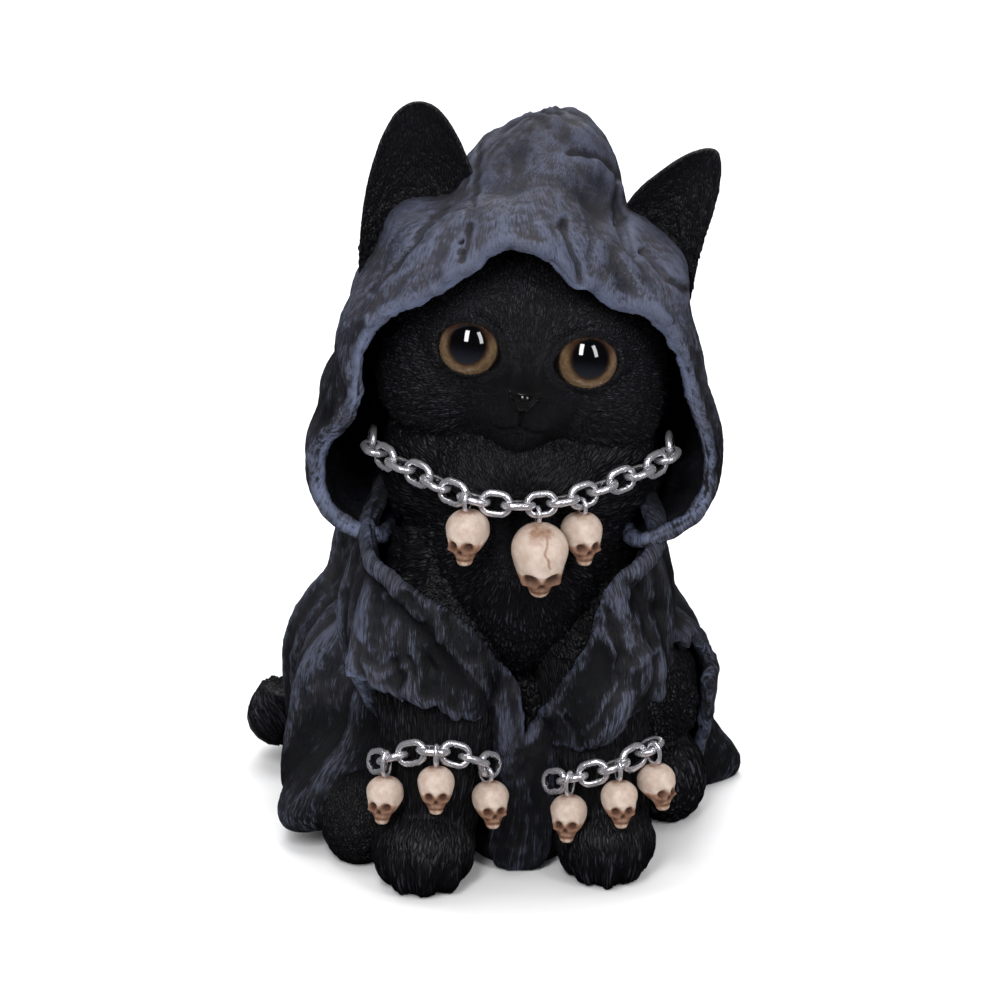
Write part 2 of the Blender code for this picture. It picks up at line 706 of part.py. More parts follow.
def eye(side, clearance, into):
    """A domed eye: the front of a ball, cut flat behind. The same form, a little larger, is its socket."""
    bpy.ops.mesh.primitive_uv_sphere_add(segments=EYE_SEGMENTS, ring_count=EYE_SEGMENTS // 2, radius=1)
    obj = bpy.context.object
    for place in list(obj.users_collection):
        place.objects.unlink(obj)
    into.objects.link(obj)
    obj.data.transform(Matrix.Rotation(math.radians(90), 4, "X"))
    radius = EYE_RADIUS + clearance
    bm = bmesh.new()
    bm.from_mesh(obj.data)
    bmesh.ops.scale(bm, vec=(radius, radius, radius), verts=bm.verts)
    everything = list(bm.verts) + list(bm.edges) + list(bm.faces)
    back = EYE_BACK * M + clearance
    bmesh.ops.bisect_plane(bm, geom=everything, dist=1e-7, plane_co=(0, back, 0), plane_no=(0, -1, 0), clear_inner=True)
    bmesh.ops.holes_fill(bm, edges=[edge for edge in bm.edges if edge.is_boundary], sides=0)
    bmesh.ops.triangulate(bm, faces=bm.faces)
    bmesh.ops.recalc_face_normals(bm, faces=bm.faces)
    bm.to_mesh(obj.data)
    bm.free()
    turned = Matrix.Rotation(math.radians(-EYE_TURN * side), 4, "Z")
    place = Matrix.Translation(Vector((side * EYE_SIDE, -EYE_FORWARD, EYE_RISE)) * M)
    obj.data.transform(head_axes() @ place @ turned)
    return obj


def keep_largest(mesh):
    """Drops the small skins that a remesh leaves where forms enclose a void."""
    bm = bmesh.new()
    bm.from_mesh(mesh)
    seen = set()
    groups = []
    for start in bm.verts:
        if start in seen:
            continue
        seen.add(start)
        group = [start]
        for vertex in group:
            for edge in vertex.link_edges:
                other = edge.other_vert(vertex)
                if other not in seen:
                    seen.add(other)
                    group.append(other)
        groups.append(group)
    groups.sort(key=len)
    for group in groups[:-1]:
        bmesh.ops.delete(bm, geom=group, context="VERTS")
    bm.to_mesh(mesh)
    bm.free()


# Chains and skulls


def link_mesh(length, width, wire, segments):
    """One long link: a ring of round wire drawn out along X."""
    around, across = segments
    bpy.ops.mesh.primitive_torus_add(
        major_radius=(width - wire) / 2, minor_radius=wire / 2, major_segments=around, minor_segments=across
    )
    obj = bpy.context.object
    mesh = obj.data.copy()
    bpy.data.objects.remove(obj, do_unlink=True)
    stretch = (length - width) / 2
    for vertex in mesh.vertices:
        if abs(vertex.co.x) > 1e-6:
            vertex.co.x += math.copysign(stretch, vertex.co.x)
    return mesh


def body_surface(surface, start, towards):
    """Where a line from inside the body leaves it, in metres."""
    place, normal, _, reach = surface.ray_cast(Vector(start) * M, Vector(towards).normalized())
    if normal.dot(Vector(towards)) < 0:
        normal = -normal
    return place, normal


def chain_path(run, surface, clearance):
    """Even places along a chain that lies on the body, from one end to the other, with the way out at each."""
    axis, heights, turns, count = run["axis"], run["heights"], run["turns"], 120
    places = []
    outs = []
    for i in range(count):
        u = i / (count - 1)
        angle = math.radians(turns[0] + (turns[1] - turns[0]) * u)
        out = Vector((math.sin(angle), -math.cos(angle), 0))
        z = float(smooth_curve(u, heights))
        place, _ = body_surface(surface, (axis[0], axis[1], z), out)
        places.append(place)
        outs.append(out)
    reach = np.array([(p - Vector((axis[0] * M, axis[1] * M, p.z))).length for p in places])
    # The chain hangs taut over hollows: take the widest of the neighbours, then soften
    widest = np.array([reach[max(0, i - 6) : i + 7].max() for i in range(count)])
    kernel = np.ones(9) / 9
    soft = np.convolve(np.pad(widest, 4, mode="edge"), kernel, mode="valid") + clearance
    line = [Vector((axis[0] * M, axis[1] * M, p.z)) + out * float(r) for p, out, r in zip(places, outs, soft)]
    return line, outs


def link_frames(run, surface):
    """Where each link of a chain lies: its middle, its length, the way across its opening and out of it."""
    line, outs = chain_path(run, surface, run["clearance"] * M)
    steps = np.concatenate([[0], np.cumsum([(b - a).length for a, b in zip(line, line[1:])])])
    pitch = LINK_LENGTH - 2 * WIRE + LINK_OVERLAP
    number = int(steps[-1] // pitch)
    spare = (steps[-1] - number * pitch) / 2
    frames = []
    for k in range(number + 1):
        at = spare + k * pitch
        i = min(max(int(np.searchsorted(steps, at)), 1), len(line) - 1)
        share = (at - steps[i - 1]) / (steps[i] - steps[i - 1])
        place = line[i - 1].lerp(line[i], min(max(share, 0), 1))
        length = (line[min(i + 3, len(line) - 1)] - line[max(i - 4, 0)]).normalized()
        out = outs[i - 1]
        out = (out - length * out.dot(length)).normalized()
        lean = math.radians(LINK_LEAN + (90 if k % 2 else 0))
        down = length.cross(out)
        if down.z > 0:
            down = -down
        across = down * math.cos(lean) + out * math.sin(lean)
        frames.append((place, length, across))
    return frames


def chain(frames, into):
    """Links laid end to end, each a quarter turn from the last and caught in it."""
    link = link_mesh(LINK_LENGTH, LINK_WIDTH, WIRE, LINK_SEGMENTS)
    made = None
    for place, length, across in frames:
        frame = Matrix((length, across, length.cross(across))).transposed().to_4x4()
        piece = link.copy()
        piece.transform(Matrix.Translation(place) @ frame)
        piece = object_from("link", piece, into)
        if made is None:
            made = piece
        else:
            made = fused(made, piece, into)
    mesh = consumed(made)
    tidy(mesh)
    return mesh


def fused(one, other, into):
    """Two closed pieces made one."""
    union = one.modifiers.new("fuse", "BOOLEAN")
    union.operation = "UNION"
    union.solver = "EXACT"
    union.object = other
    mesh = consumed(one)
    bpy.data.objects.remove(other, do_unlink=True)
    return object_from("fused", mesh, into)


def skull_places(directions):
    """A small skull with its face towards -Y and its crown up, 2 wide."""
    angle = np.degrees(np.arccos(np.clip(directions[:, 2], -1, 1)))
    turn = np.arctan2(directions[:, 0], -directions[:, 1])
    z = smooth_curve(angle, [(row[0], row[1]) for row in SKULL_PROFILE])
    reach = smooth_curve(angle, [(row[0], row[2]) for row in SKULL_PROFILE])
    low = smooth_step((-z - 0.15) / 0.8)
    x = np.sin(turn) * reach
    y = -np.cos(turn) * reach * (1.10 - 0.05 * low) + 0.06 - 0.34 * low
    front = smooth_step((np.cos(turn) - 0.1) / 0.5)

    def pit(at_x, at_z, wide, tall):
        return bump(np.hypot((abs(x) - at_x) / wide, (z - at_z) / tall), 0, 0.85) * front

    sockets = pit(0.37, -0.50, 0.27, 0.25)
    nose = bump(np.hypot(x / 0.13, (z + 0.83) / 0.16), 0, 0.9) * front
    cheeks = pit(0.58, -0.74, 0.16, 0.12)
    brow = bump(np.hypot(x / 0.6, (z + 0.22) / 0.13), 0, 0.9) * front
    temples = bump(np.hypot((z + 0.25) / 0.3, (abs(np.degrees(turn)) - 75) / 22), 0, 0.9)
    depth = -0.42 * sockets - 0.26 * nose + 0.13 * cheeks + 0.07 * brow - 0.09 * temples
    x = x * (1 + 0.9 * (cheeks * 0.13 - temples * 0.09))
    return np.stack([x, y - depth * front, z], 1)


def skull_mesh(width):
    """A small skull with its face towards -Y and its crown up, of the given width."""
    bpy.ops.mesh.primitive_ico_sphere_add(subdivisions=4, radius=1)
    obj = bpy.context.object
    mesh = obj.data.copy()
    bpy.data.objects.remove(obj, do_unlink=True)
    directions = np.array([v.co for v in mesh.vertices])
    directions /= np.linalg.norm(directions, axis=1)[:, None]
    places = skull_places(directions)
    scale = width / (places[:, 0].max() - places[:, 0].min())
    mesh.vertices.foreach_set("co", (places * scale).ravel())
    return mesh


def room_behind(mesh, surface, push):
    """How far a piece can move along a direction before it meets the body."""
    travel = [surface.ray_cast(vertex.co - push * FAR, push)[3] for vertex in mesh.vertices]
    return min(reach for reach in travel if reach is not None) - FAR


def tree_of(mesh):
    return BVHTree.FromPolygons([v.co for v in mesh.vertices], [tuple(p.vertices) for p in mesh.polygons])


def held_links(hangs, frames):
    """The link that each skull of a chain hangs from: near its own place, with room between neighbours."""

    def cost(chosen):
        away = sum(abs(frame[0].x - hang[0] * M) for frame, hang in zip(chosen, hangs))
        crowded = 0
        for k in range(len(hangs) - 1):
            room = SKULL_ROOM * (hangs[k][1] + hangs[k + 1][1]) / 2
            crowded += max(room - (chosen[k][0] - chosen[k + 1][0]).length, 0)
        return away + CROWDING_COST * crowded

    return min(itertools.product(frames, repeat=len(hangs)), key=cost)


def skull(hang, link, links, surface, into):
    """A skull laid on the fur below its chain, with its ring round a link."""
    x, width, turn, tip = hang
    place, length, across = link
    bar = place + across * (LINK_WIDTH - WIRE) / 2
    slide = min(max((x * M - bar.x) / max(abs(length.x), 0.3), -RING_SLIDE), RING_SLIDE)
    hub = bar + length * math.copysign(1, length.x) * slide
    up = Vector((0, 0, 1))
    sideways = Vector((length.x, length.y, 0)).normalized()
    inwards = up.cross(sideways)
    if inwards.y < 0:
        inwards = -inwards
    obj = object_from("skull", skull_mesh(width), into)
    simplify = obj.modifiers.new("simplify", "DECIMATE")
    simplify.use_collapse_triangulate = True
    simplify.ratio = SKULL_FACES / len(obj.data.polygons)
    mesh = consumed(obj)
    mesh.transform(Matrix.Rotation(math.radians(tip), 4, "X"))
    mesh.transform(Matrix.Rotation(math.radians(turn), 4, "Z"))
    crown = max(vertex.co.z for vertex in mesh.vertices)
    foot = hub.z - RING_RADIUS
    mesh.transform(Matrix.Translation((hub.x, hub.y, foot - crown)))
    for step in range(3):
        room = room_behind(mesh, surface, inwards) - REST_GAP * 2
        mesh.transform(Matrix.Translation(inwards * min(room, 0)))
        # Every bit of the chain over the skull stays clear of it
        tree = tree_of(mesh)
        drop = 0
        for vertex in links.vertices:
            met = tree.ray_cast(vertex.co + up * FAR, -up)[0]
            if met is not None:
                drop = max(drop, met.z + REST_GAP - vertex.co.z)
        mesh.transform(Matrix.Translation(-up * drop))
    top = tree_of(mesh).ray_cast(hub + up * FAR, -up)[0]
    reach = max(foot - top.z, 0)
    # The ring is drawn out downwards until it is sunk in the crown, a little deeper each time till the two join cleanly
    ring_size = 2 * RING_RADIUS + RING_WIRE
    frame = Matrix((-up, sideways.cross(-up), sideways)).transposed().to_4x4()
    for tries in range(SINK_TRIES):
        drawn = reach + tries * SINK_STEP
        ring = link_mesh(ring_size + drawn, ring_size, RING_WIRE, RING_SEGMENTS)
        ring.transform(Matrix.Translation(hub - up * drawn / 2) @ frame)
        whole = consumed(fused(object_from("skull", mesh.copy(), into), object_from("ring", ring, into), into))
        tidy(whole)
        if sound(whole):
            break
    bpy.data.meshes.remove(mesh)
    return whole


def main():
    clear_scene()
    model = collection("hooded_cat")
    workshop = collection("workshop")
    workshop.hide_render = True
    resin = material("painted_resin", PAINTED_RESIN)
    amber = material("amber_eye", AMBER_EYE)
    silver = material("silver_paint", SILVER_PAINT)
    bone = material("bone_paint", BONE_PAINT)
    cat = figure(model, workshop)
    cat.data.materials.append(resin)
    surface = BVHTree.FromObject(cat, bpy.context.evaluated_depsgraph_get())
    for side, name in ((-1, "eye_left"), (1, "eye_right")):
        made = eye(side, 0.0, model)
        made.name = name
        made.data.name = name
        made.data.materials.append(amber)
    frames = {name: link_frames(run, surface) for name, run in CHAINS.items()}
    for name in CHAINS:
        made = object_from(name, chain(frames[name], workshop), model)
        made.data.materials.append(silver)
    for chain_name in CHAINS:
        hangs = {name: row[1:] for name, row in SKULLS.items() if row[0] == chain_name}
        held = held_links(list(hangs.values()), frames[chain_name])
        links = model.objects[chain_name].data
        for (name, hang), link in zip(hangs.items(), held):
            made = object_from(name, skull(hang, link, links, surface, workshop), model)
            made.data.materials.append(bone)


main()
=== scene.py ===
"""The hooded cat figurine as it looks: carved black fur, a dry-brushed ragged cloak, domed amber
eyes, silver chains and bone skulls.

Metres, +Z up, in the same frame as the solid model. The cat looks along -Y. Shapes are written in
modules, 157ths of the height, as the sculptor's own measure.
"""

import itertools
import math

import bmesh
import bpy
import numpy as np
from mathutils import Matrix, Vector
from mathutils.bvhtree import BVHTree
from mathutils.kdtree import KDTree


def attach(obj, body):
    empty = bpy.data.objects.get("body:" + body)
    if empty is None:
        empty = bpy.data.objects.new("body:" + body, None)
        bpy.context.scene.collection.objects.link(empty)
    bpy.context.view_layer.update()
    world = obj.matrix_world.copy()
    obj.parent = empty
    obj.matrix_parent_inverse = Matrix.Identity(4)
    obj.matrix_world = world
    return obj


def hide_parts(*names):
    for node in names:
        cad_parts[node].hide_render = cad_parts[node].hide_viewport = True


# Driving dimensions, as in the solid model
HEIGHT = 0.157
CLOTH = 0.0025
EAR_WALL = 0.0030
EYE_RADIUS = 0.0070
WIRE = 0.0015
LINK_LENGTH = 0.0072
LINK_WIDTH = 0.0056
RING_RADIUS = 0.0015
RING_WIRE = 0.0009
SKULL_WIDTH = 0.0076
BIG_SKULL_WIDTH = 0.0116
SKULL_ROOM = 0.9  # how far apart neighbouring skulls hang, as a share of their mean width
CROWDING_COST = 100
RING_SLIDE = 0.0008  # how far a ring may sit from the middle of its link
REST_GAP = 0.0003
FAR = 0.05
M = HEIGHT / 157
# Details are placed by how they look from in front: how far above level, from how far, and at what height
VIEW_RISE = math.radians(18)
VIEW_DISTANCE = 1000.0
VIEW_HEIGHT = 70


def smooth_step(x):
    """0 below 0, 1 above 1, with a soft start and end."""
    x = np.clip(x, 0, 1)
    return x * x * (3 - 2 * x)


def smooth_curve(x, table):
    """A smooth curve through the (x, value) pairs of a table."""
    knots = np.array([row[0] for row in table], float)
    values = np.array([row[1] for row in table], float)
    slopes = np.gradient(values, knots)
    i = np.clip(np.searchsorted(knots, x) - 1, 0, len(knots) - 2)
    span = knots[i + 1] - knots[i]
    t = np.clip((x - knots[i]) / span, 0, 1)
    a, b = values[i], values[i + 1]
    # A slope of at most the steps beside it keeps the curve between its points
    rise = (b - a) / span

    def tamed(slope):
        return np.where(slope * rise > 0, np.sign(rise) * np.minimum(abs(slope), 3 * abs(rise)), 0)

    h00 = (1 + 2 * t) * (1 - t) ** 2
    h10 = t * (1 - t) ** 2
    h01 = t * t * (3 - 2 * t)
    h11 = t * t * (t - 1)
    return h00 * a + h10 * span * tamed(slopes[i]) + h01 * b + h11 * span * tamed(slopes[i + 1])


def bump(x, centre, width):
    """1 at the centre, falling to nothing about two widths away."""
    return np.exp(-(((x - centre) / width) ** 2))


def spot(x, z, at, size, softness):
    """1 at a place on a surface, falling to nothing in an oval round it."""
    return bump(np.hypot((x - at[0]) / size[0], (z - at[1]) / size[1]), 0, softness)


def way_out(origin, direction, centre, radii):
    """How far it is along a direction from a point to the far side of an ellipsoid, or 0."""
    o = (origin - np.array(centre)) / np.array(radii)
    d = direction / np.array(radii)
    a = (d * d).sum(-1)
    b = (o * d).sum(-1)
    c = (o * o).sum(-1) - 1
    root = b * b - a * c
    return np.where(root > 0, (-b + np.sqrt(np.maximum(root, 0))) / a, 0)


def cover(origin, direction, forms, softness):
    """How far out cloth lies when it is laid over several rounded forms."""
    reach = np.stack([way_out(origin, direction, *form) for form in forms])
    return softness * np.log(np.exp(reach / softness).sum(0))


def seen(places):
    """Where places show to the viewer in front: across, up and how far ahead, in modules."""
    rise, ahead = math.sin(VIEW_RISE), math.cos(VIEW_RISE)
    height = places[:, 2] - VIEW_HEIGHT
    nearness = height * rise - places[:, 1] * ahead
    scale = 1 / (1 - nearness / VIEW_DISTANCE)
    return places[:, 0] * scale, (height * ahead + places[:, 1] * rise) * scale, nearness


def from_line(places, line):
    """How far places lie, as seen from in front, from a bent line."""
    across, up, _ = seen(places)
    nearest = np.full(len(places), 99.0)
    for (ax, ay), (bx, by) in zip(line, line[1:]):
        ux, uy = bx - ax, by - ay
        share = np.clip(((across - ax) * ux + (up - ay) * uy) / (ux * ux + uy * uy), 0, 1)
        nearest = np.minimum(nearest, np.hypot(across - ax - ux * share, up - ay - uy * share))
    return nearest


# The cloak

HOOD_MIDDLE = np.array((4.0, -6.0, 108.0))
HOOD_FORMS = (
    ((4.0, -5.0, 112.0), (34.5, 33.0, 27.5)),  # over the skull
    ((9.0, 2.0, 133.0), (17.5, 19.0, 17.0)),  # the slack crown
    ((3.0, -5.0, 90.0), (40.0, 35.0, 26.0)),  # over the neck, where it flares
)
# The hood's front edge, from its left corner over the brow to its right corner
HOOD_RIM = (
    (0.0, 6.0, 66.0), (-20.0, -8.0, 70.0), (-27.0, -31.0, 73.0), (-33.0, -32.0, 76.5), (-37.0, -31.0, 83.0),
    (-36.5, -31.0, 91.0), (-32.0, -33.5, 96.5), (-29.0, -35.0, 103.0), (-28.5, -34.5, 112.0),
    (-23.5, -35.5, 119.5), (-14.0, -38.5, 125.0), (-6.0, -40.0, 131.0), (1.5, -40.5, 136.0),
    (9.0, -40.3, 134.0), (13.0, -40.6, 130.6), (15.6, -40.8, 127.6), (17.2, -39.6, 127.4),
    (18.6, -38.0, 126.6), (21.6, -37.3, 123.8), (29.5, -35.2, 120.6), (35.5, -32.5, 112.5),
    (39.0, -31.5, 102.0), (42.0, -31.0, 92.0), (42.5, -31.0, 84.0), (39.0, -32.0, 77.0), (31.0, -33.5, 73.0),
    (22.0, -8.0, 70.0), (0.0, 6.0, 66.0),
)
HOOD_BACK = math.radians(176)  # how far round towards the back its side lines run
HOOD_SAG = math.radians(38)  # how far the back of the hood drops towards the shoulders
HOOD_SOFTNESS = 2.0  # how softly the cloth passes from one form to the next
ROBE_FORMS = (
    ((2.0, -13.0, 64.0), (31.0, 26.0, 25.0)),  # shoulders
    ((-14.5, -27.0, 52.0), (14.5, 16.5, 30.0)),  # over the left foreleg
    ((19.0, -24.0, 52.0), (13.5, 16.0, 30.0)),  # over the right foreleg
    ((4.0, -14.0, 24.0), (12.0, 18.5, 40.0)),  # between the forelegs
    ((-2.0, 12.0, 52.0), (31.5, 30.0, 40.0)),  # back
    ((-22.0, 6.0, 26.0), (22.5, 25.0, 27.5)),  # left haunch
    ((22.0, 13.0, 26.0), (21.5, 25.0, 26.5)),  # right haunch
    ((-8.0, 24.0, 18.0), (34.0, 28.0, 30.0)),  # rump
)
ROBE_SOFTNESS = 2.2
ROBE_AXIS = (2.0, 2.0)
ROBE_LEAN = (0.01, -0.10)  # how far the axis shifts to the side and ahead for each module of height
ROBE_TOP = 88.0
ROBE_FLARE = 4.5  # how far the hem stands out at the ground
# The two front edges: height above the ground, and degrees from straight ahead
LEFT_LAPEL = (
    (0, 3), (24, 3), (29, 2.8), (35, 2), (42, -0.5), (48, -6.5), (53, -10), (61, -20), (65, -28), (69, -38),
    (73, -47), (77, -56), (88, -75),
)
RIGHT_LAPEL = (
    (0, 3.6), (24, 3.8), (29, 5), (32, 10.5), (36, 13.5), (40, 15.5), (45, 18), (50.5, 21.4), (54, 24),
    (60, 25.6), (66, 30.4), (71, 46), (77, 58), (88, 76),
)
# The rolled crest beside each front edge, in the same way
LEFT_CREST = (
    (0, -2), (22, -2), (28, -2.2), (35, -3), (42, -5), (49, -10.5), (53, -14), (61, -23), (65, -31),
    (70, -42), (88, -78),
)
RIGHT_CREST = (
    (0, 14), (24, 19), (31, 21.4), (34.6, 25.6), (37.6, 27), (40.7, 29.2), (46, 33), (50.5, 32.5), (54, 31.3),
    (57, 31), (62, 29), (66, 33), (71, 49), (88, 79),
)
# The hem: degrees from straight ahead, left round the back to the right, and height above the ground
HEM = (
    (-357, 0), (-349, 0), (-344.5, 3), (-342.5, 12), (-340.5, 24), (-338.6, 31), (-330.5, 37.5), (-321, 41),
    (-317, 43), (-310, 41.8), (-302, 42.5), (-286, 40), (-273, 39.5), (-267, 32), (-264.5, 23), (-262, 4),
    (-258, 0), (-250, 0), (-220, 1), (-190, 0), (-160, 1), (-143, 2), (-132, 14), (-120, 11), (-111, 1),
    (-95, 0), (-79, 0), (-61, 0), (-57.5, 3), (-54.8, 11), (-52.5, 19), (-51, 25), (-50, 36), (-48, 43),
    (-43, 45), (-35, 46), (-29, 44), (-17, 40), (-12.3, 36), (-8.5, 30), (-7.0, 18), (-6.0, 2), (-2, 0),
    (6, 0),
)
FOLD_DEPTH = 1.3  # how deep the folds are cut in all
# Folds that run down the robe: angle at the top, angle at the hem, width in degrees, depth
ROBE_FOLDS = (
    (-24, -26, 3.5, 1.8), (-40, -44, 4.0, 2.2), (-58, -60, 5.0, 2.2), (-78, -80, 6.0, 2.4),
    (-92, -98, 5.0, -1.6), (-104, -112, 6.0, 2.2), (-128, -146, 7.0, 2.8), (-150, -163, 5.0, -1.8),
    (-160, -180, 7.0, 3.0), (-182, -203, 6.0, 2.4), (-205, -222, 6.0, -1.8), (-214, -236, 7.0, 2.6),
    (-262, -266, 6.0, 1.8), (-300, -300, 6.0, 2.4), (-316, -320, 4.0, 1.6), (-326, -331, 3.0, -1.2),
)
# Where the robe stands out further: by how much, at what angle and how wide, at what height and how tall
ROBE_SWELLS = (
    (4.0, -9, 10, 42, 15),  # the left front edge swings across the chest to hang between the forelegs
    (2.5, -336, 8, 34, 10),
    (2.8, -38, 17, 44, 9),  # the sleeves flare over the forelegs
    (2.8, -322, 14, 44, 9),
    (2.6, -60, 3.4, 48, 16),  # the outer edge of each sleeve stands out from the cloth behind it
    (2.4, -308, 3.6, 54, 13),
    (3.5, -270, 7, 38, 12),  # the cloth over the right haunch stands off it in a deep fold
)


def robe_angle(u, z):
    """Degrees from straight ahead, from the left front edge back round to the right one."""
    left = smooth_curve(z, LEFT_LAPEL)
    right = smooth_curve(z, RIGHT_LAPEL)
    return left - u * (360 - (right - left))


def robe_radius(theta, z):
    """How far the robe lies from its axis, in modules, at an angle in degrees and a height."""
    turn = np.radians(theta)
    heading = np.stack([np.sin(turn), -np.cos(turn), np.zeros_like(turn)], -1)
    axis = np.stack([*(middle + z * lean for middle, lean in zip(ROBE_AXIS, ROBE_LEAN)), z], -1)
    radius = cover(axis, heading, ROBE_FORMS, ROBE_SOFTNESS)
    low = np.clip(1 - z / 26, 0, 1)
    radius = radius + ROBE_FLARE * low**2
    for top, foot, width, depth in ROBE_FOLDS:
        middle = foot + (top - foot) * z / 80
        spread = width * (0.6 + 0.4 * low)
        grow = smooth_step((86 - z) / 50)
        radius = radius + FOLD_DEPTH * depth * grow * bump(theta, middle, spread)
    # The corner that trails on the ground at the back right
    radius = radius + 21 * bump(theta, -247, 8) * np.clip(1 - z / 21, 0, 1) ** 1.5
    # The fold of hem that stands out at the front left
    radius = radius + 22 * bump(theta, -64, 12) * smooth_step(np.clip(1 - z / 28, 0, 1))
    # Beside both front edges the cloth rolls into a crest, and the edge itself turns in again
    left = smooth_curve(z, LEFT_CREST)
    right = smooth_curve(z, RIGHT_CREST)
    held = smooth_step((z - 12) / 16)
    radius = radius + 3.4 * bump(theta, left, 3.6) * held
    radius = radius + 4.2 * bump(theta + 360, right, 4.2) * held
    radius = radius - 1.6 * bump(theta + 360, right + 8.5, 3.5) * bump(z, 60, 9)
    for depth, angle, spread, level, tall in ROBE_SWELLS:
        radius = radius + depth * bump(theta, angle, spread) * bump(z, level, tall)
    return radius, axis, heading


def robe_point(u, t):
    nominal = robe_angle(u, 30.0 + 0 * u)
    hem = smooth_curve(nominal, HEM)
    ragged = 1.1 * np.sin(nominal * 1.3) + 0.8 * np.sin(nominal * 3.1 + 1)
    hem = hem + ragged * smooth_step(hem / 8)
    z = ROBE_TOP + t * (hem - ROBE_TOP)
    radius, axis, heading = robe_radius(robe_angle(u, z), z)
    return axis + heading * radius[..., None]


def along(points, u):
    """Points along a smooth open curve through the given ones, at shares u of its length."""
    points = np.array(points, float)
    steps = np.concatenate([[0], np.cumsum(np.linalg.norm(np.diff(points, axis=0), axis=1))])
    steps /= steps[-1]
    columns = [smooth_curve(u, list(zip(steps, points[:, k]))) for k in range(3)]
    return np.stack(columns, -1)


def hood_point(u, v):
    """The hood from its front edge, v = 0, to the nape, v = 1."""
    rim = along(HOOD_RIM, u) - HOOD_MIDDLE
    reach = np.linalg.norm(rim, axis=-1)
    start = rim / reach[..., None]
    around = np.arctan2(start[..., 0], start[..., 2])
    opening = np.arccos(np.clip(-start[..., 1], -1, 1))
    tilt = opening + (HOOD_BACK - opening) * v
    sag = HOOD_SAG * v**1.5
    ahead = -np.cos(tilt)
    upward = np.sin(tilt) * np.cos(around)
    heading = np.stack(
        [
            np.sin(tilt) * np.sin(around),
            ahead * np.cos(sag) + upward * np.sin(sag),
            upward * np.cos(sag) - ahead * np.sin(sag),
        ],
        -1,
    )
    draped = cover(np.broadcast_to(HOOD_MIDDLE, heading.shape), heading, HOOD_FORMS, HOOD_SOFTNESS)
    hold = smooth_step(v / 0.30)
    radius = reach * (1 - hold) + draped * hold
    # Soft folds that run back from the front edge, and one deep crease on the crown's right
    turn = np.degrees(around)
    falls = 1.1 * np.sin(np.radians(turn * 7) + 2 * v) + 0.7 * np.sin(np.radians(turn * 13) - 3 * v)
    radius = radius + falls * smooth_step(v / 0.25) * smooth_step((1 - v) / 0.4)
    radius = radius - 2.6 * bump(turn, 30 + 22 * v, 7) * bump(v, 0.42, 0.16)
    radius = radius + 1.8 * bump(turn, 16 + 14 * v, 8) * bump(v, 0.42, 0.2)
    return HOOD_MIDDLE + heading * radius[..., None]


# The cat, in modules

HEAD_MIDDLE = Vector((5.2, -14.0, 109.0))
HEAD_ROLL = math.radians(7)
HEAD_RADII = (29.0, 25.5, 27.0)
HEAD_SWELLS = (
    ((-0.80, -0.42, -0.40), 24, 4.5),  # cheeks
    ((0.80, -0.42, -0.40), 24, 4.5),
    ((-0.15, -1.0, -0.30), 10, 3.6),  # muzzle pads
    ((0.15, -1.0, -0.30), 10, 3.6),
    ((0.0, -1.0, -0.10), 7, 4.4),  # nose
    ((0.0, -1.0, 0.12), 9, 1.6),  # bridge
    ((0.0, -0.95, -0.56), 10, 3.4),  # chin
    ((-0.38, -0.9, 0.42), 14, 2.4),  # brows
    ((0.38, -0.9, 0.42), 14, 2.4),
    ((-0.50, -0.93, 0.08), 11, -2.6),  # eye hollows
    ((0.50, -0.93, 0.08), 11, -2.6),
)
EYE_SIDE = 11.6  # each eye's centre from the middle of the face
EYE_RISE = 3.4
EYE_FORWARD = 19.2
EYE_BACK = 1.5  # how far behind that centre the eye's flat back lies

# Each ear: the outer and the inner side of its outline, from the base to the rounded tip
LEFT_EAR = (
    (
        (-28.5, -7.0, 112.0), (-29.2, -7.0, 119.0), (-28.9, -6.5, 128.0), (-28.0, -6.3, 136.0),
        (-26.0, -6.0, 144.5), (-23.4, -5.5, 151.2), (-20.6, -5.0, 155.2), (-17.6, -5.0, 156.7),
        (-16.9, -5.0, 156.8),
    ),
    (
        (-2.5, -8.0, 129.0), (-3.6, -8.0, 134.5), (-4.8, -6.0, 140.3), (-6.8, -5.0, 145.7),
        (-9.0, -5.0, 150.5), (-11.2, -5.0, 153.9), (-13.6, -5.0, 156.1), (-16.0, -5.0, 156.8),
        (-16.9, -5.0, 156.8),
    ),
)
RIGHT_EAR = (
    (
        (37.5, -5.0, 109.0), (39.4, -5.0, 115.0), (41.0, -4.0, 122.8), (42.7, -4.0, 129.2),
        (44.4, -3.5, 134.8), (45.3, -3.0, 139.5), (45.4, -3.0, 143.5), (44.6, -2.5, 145.9),
        (43.0, -2.5, 146.5),
    ),
    (
        (23.0, -5.0, 126.0), (24.5, -5.0, 131.0), (26.0, -3.0, 134.9), (28.7, -3.0, 138.3),
        (32.4, -2.5, 141.3), (36.0, -2.5, 143.9), (39.2, -2.5, 145.6), (41.5, -2.5, 146.3),
        (43.0, -2.5, 146.5),
    ),
)

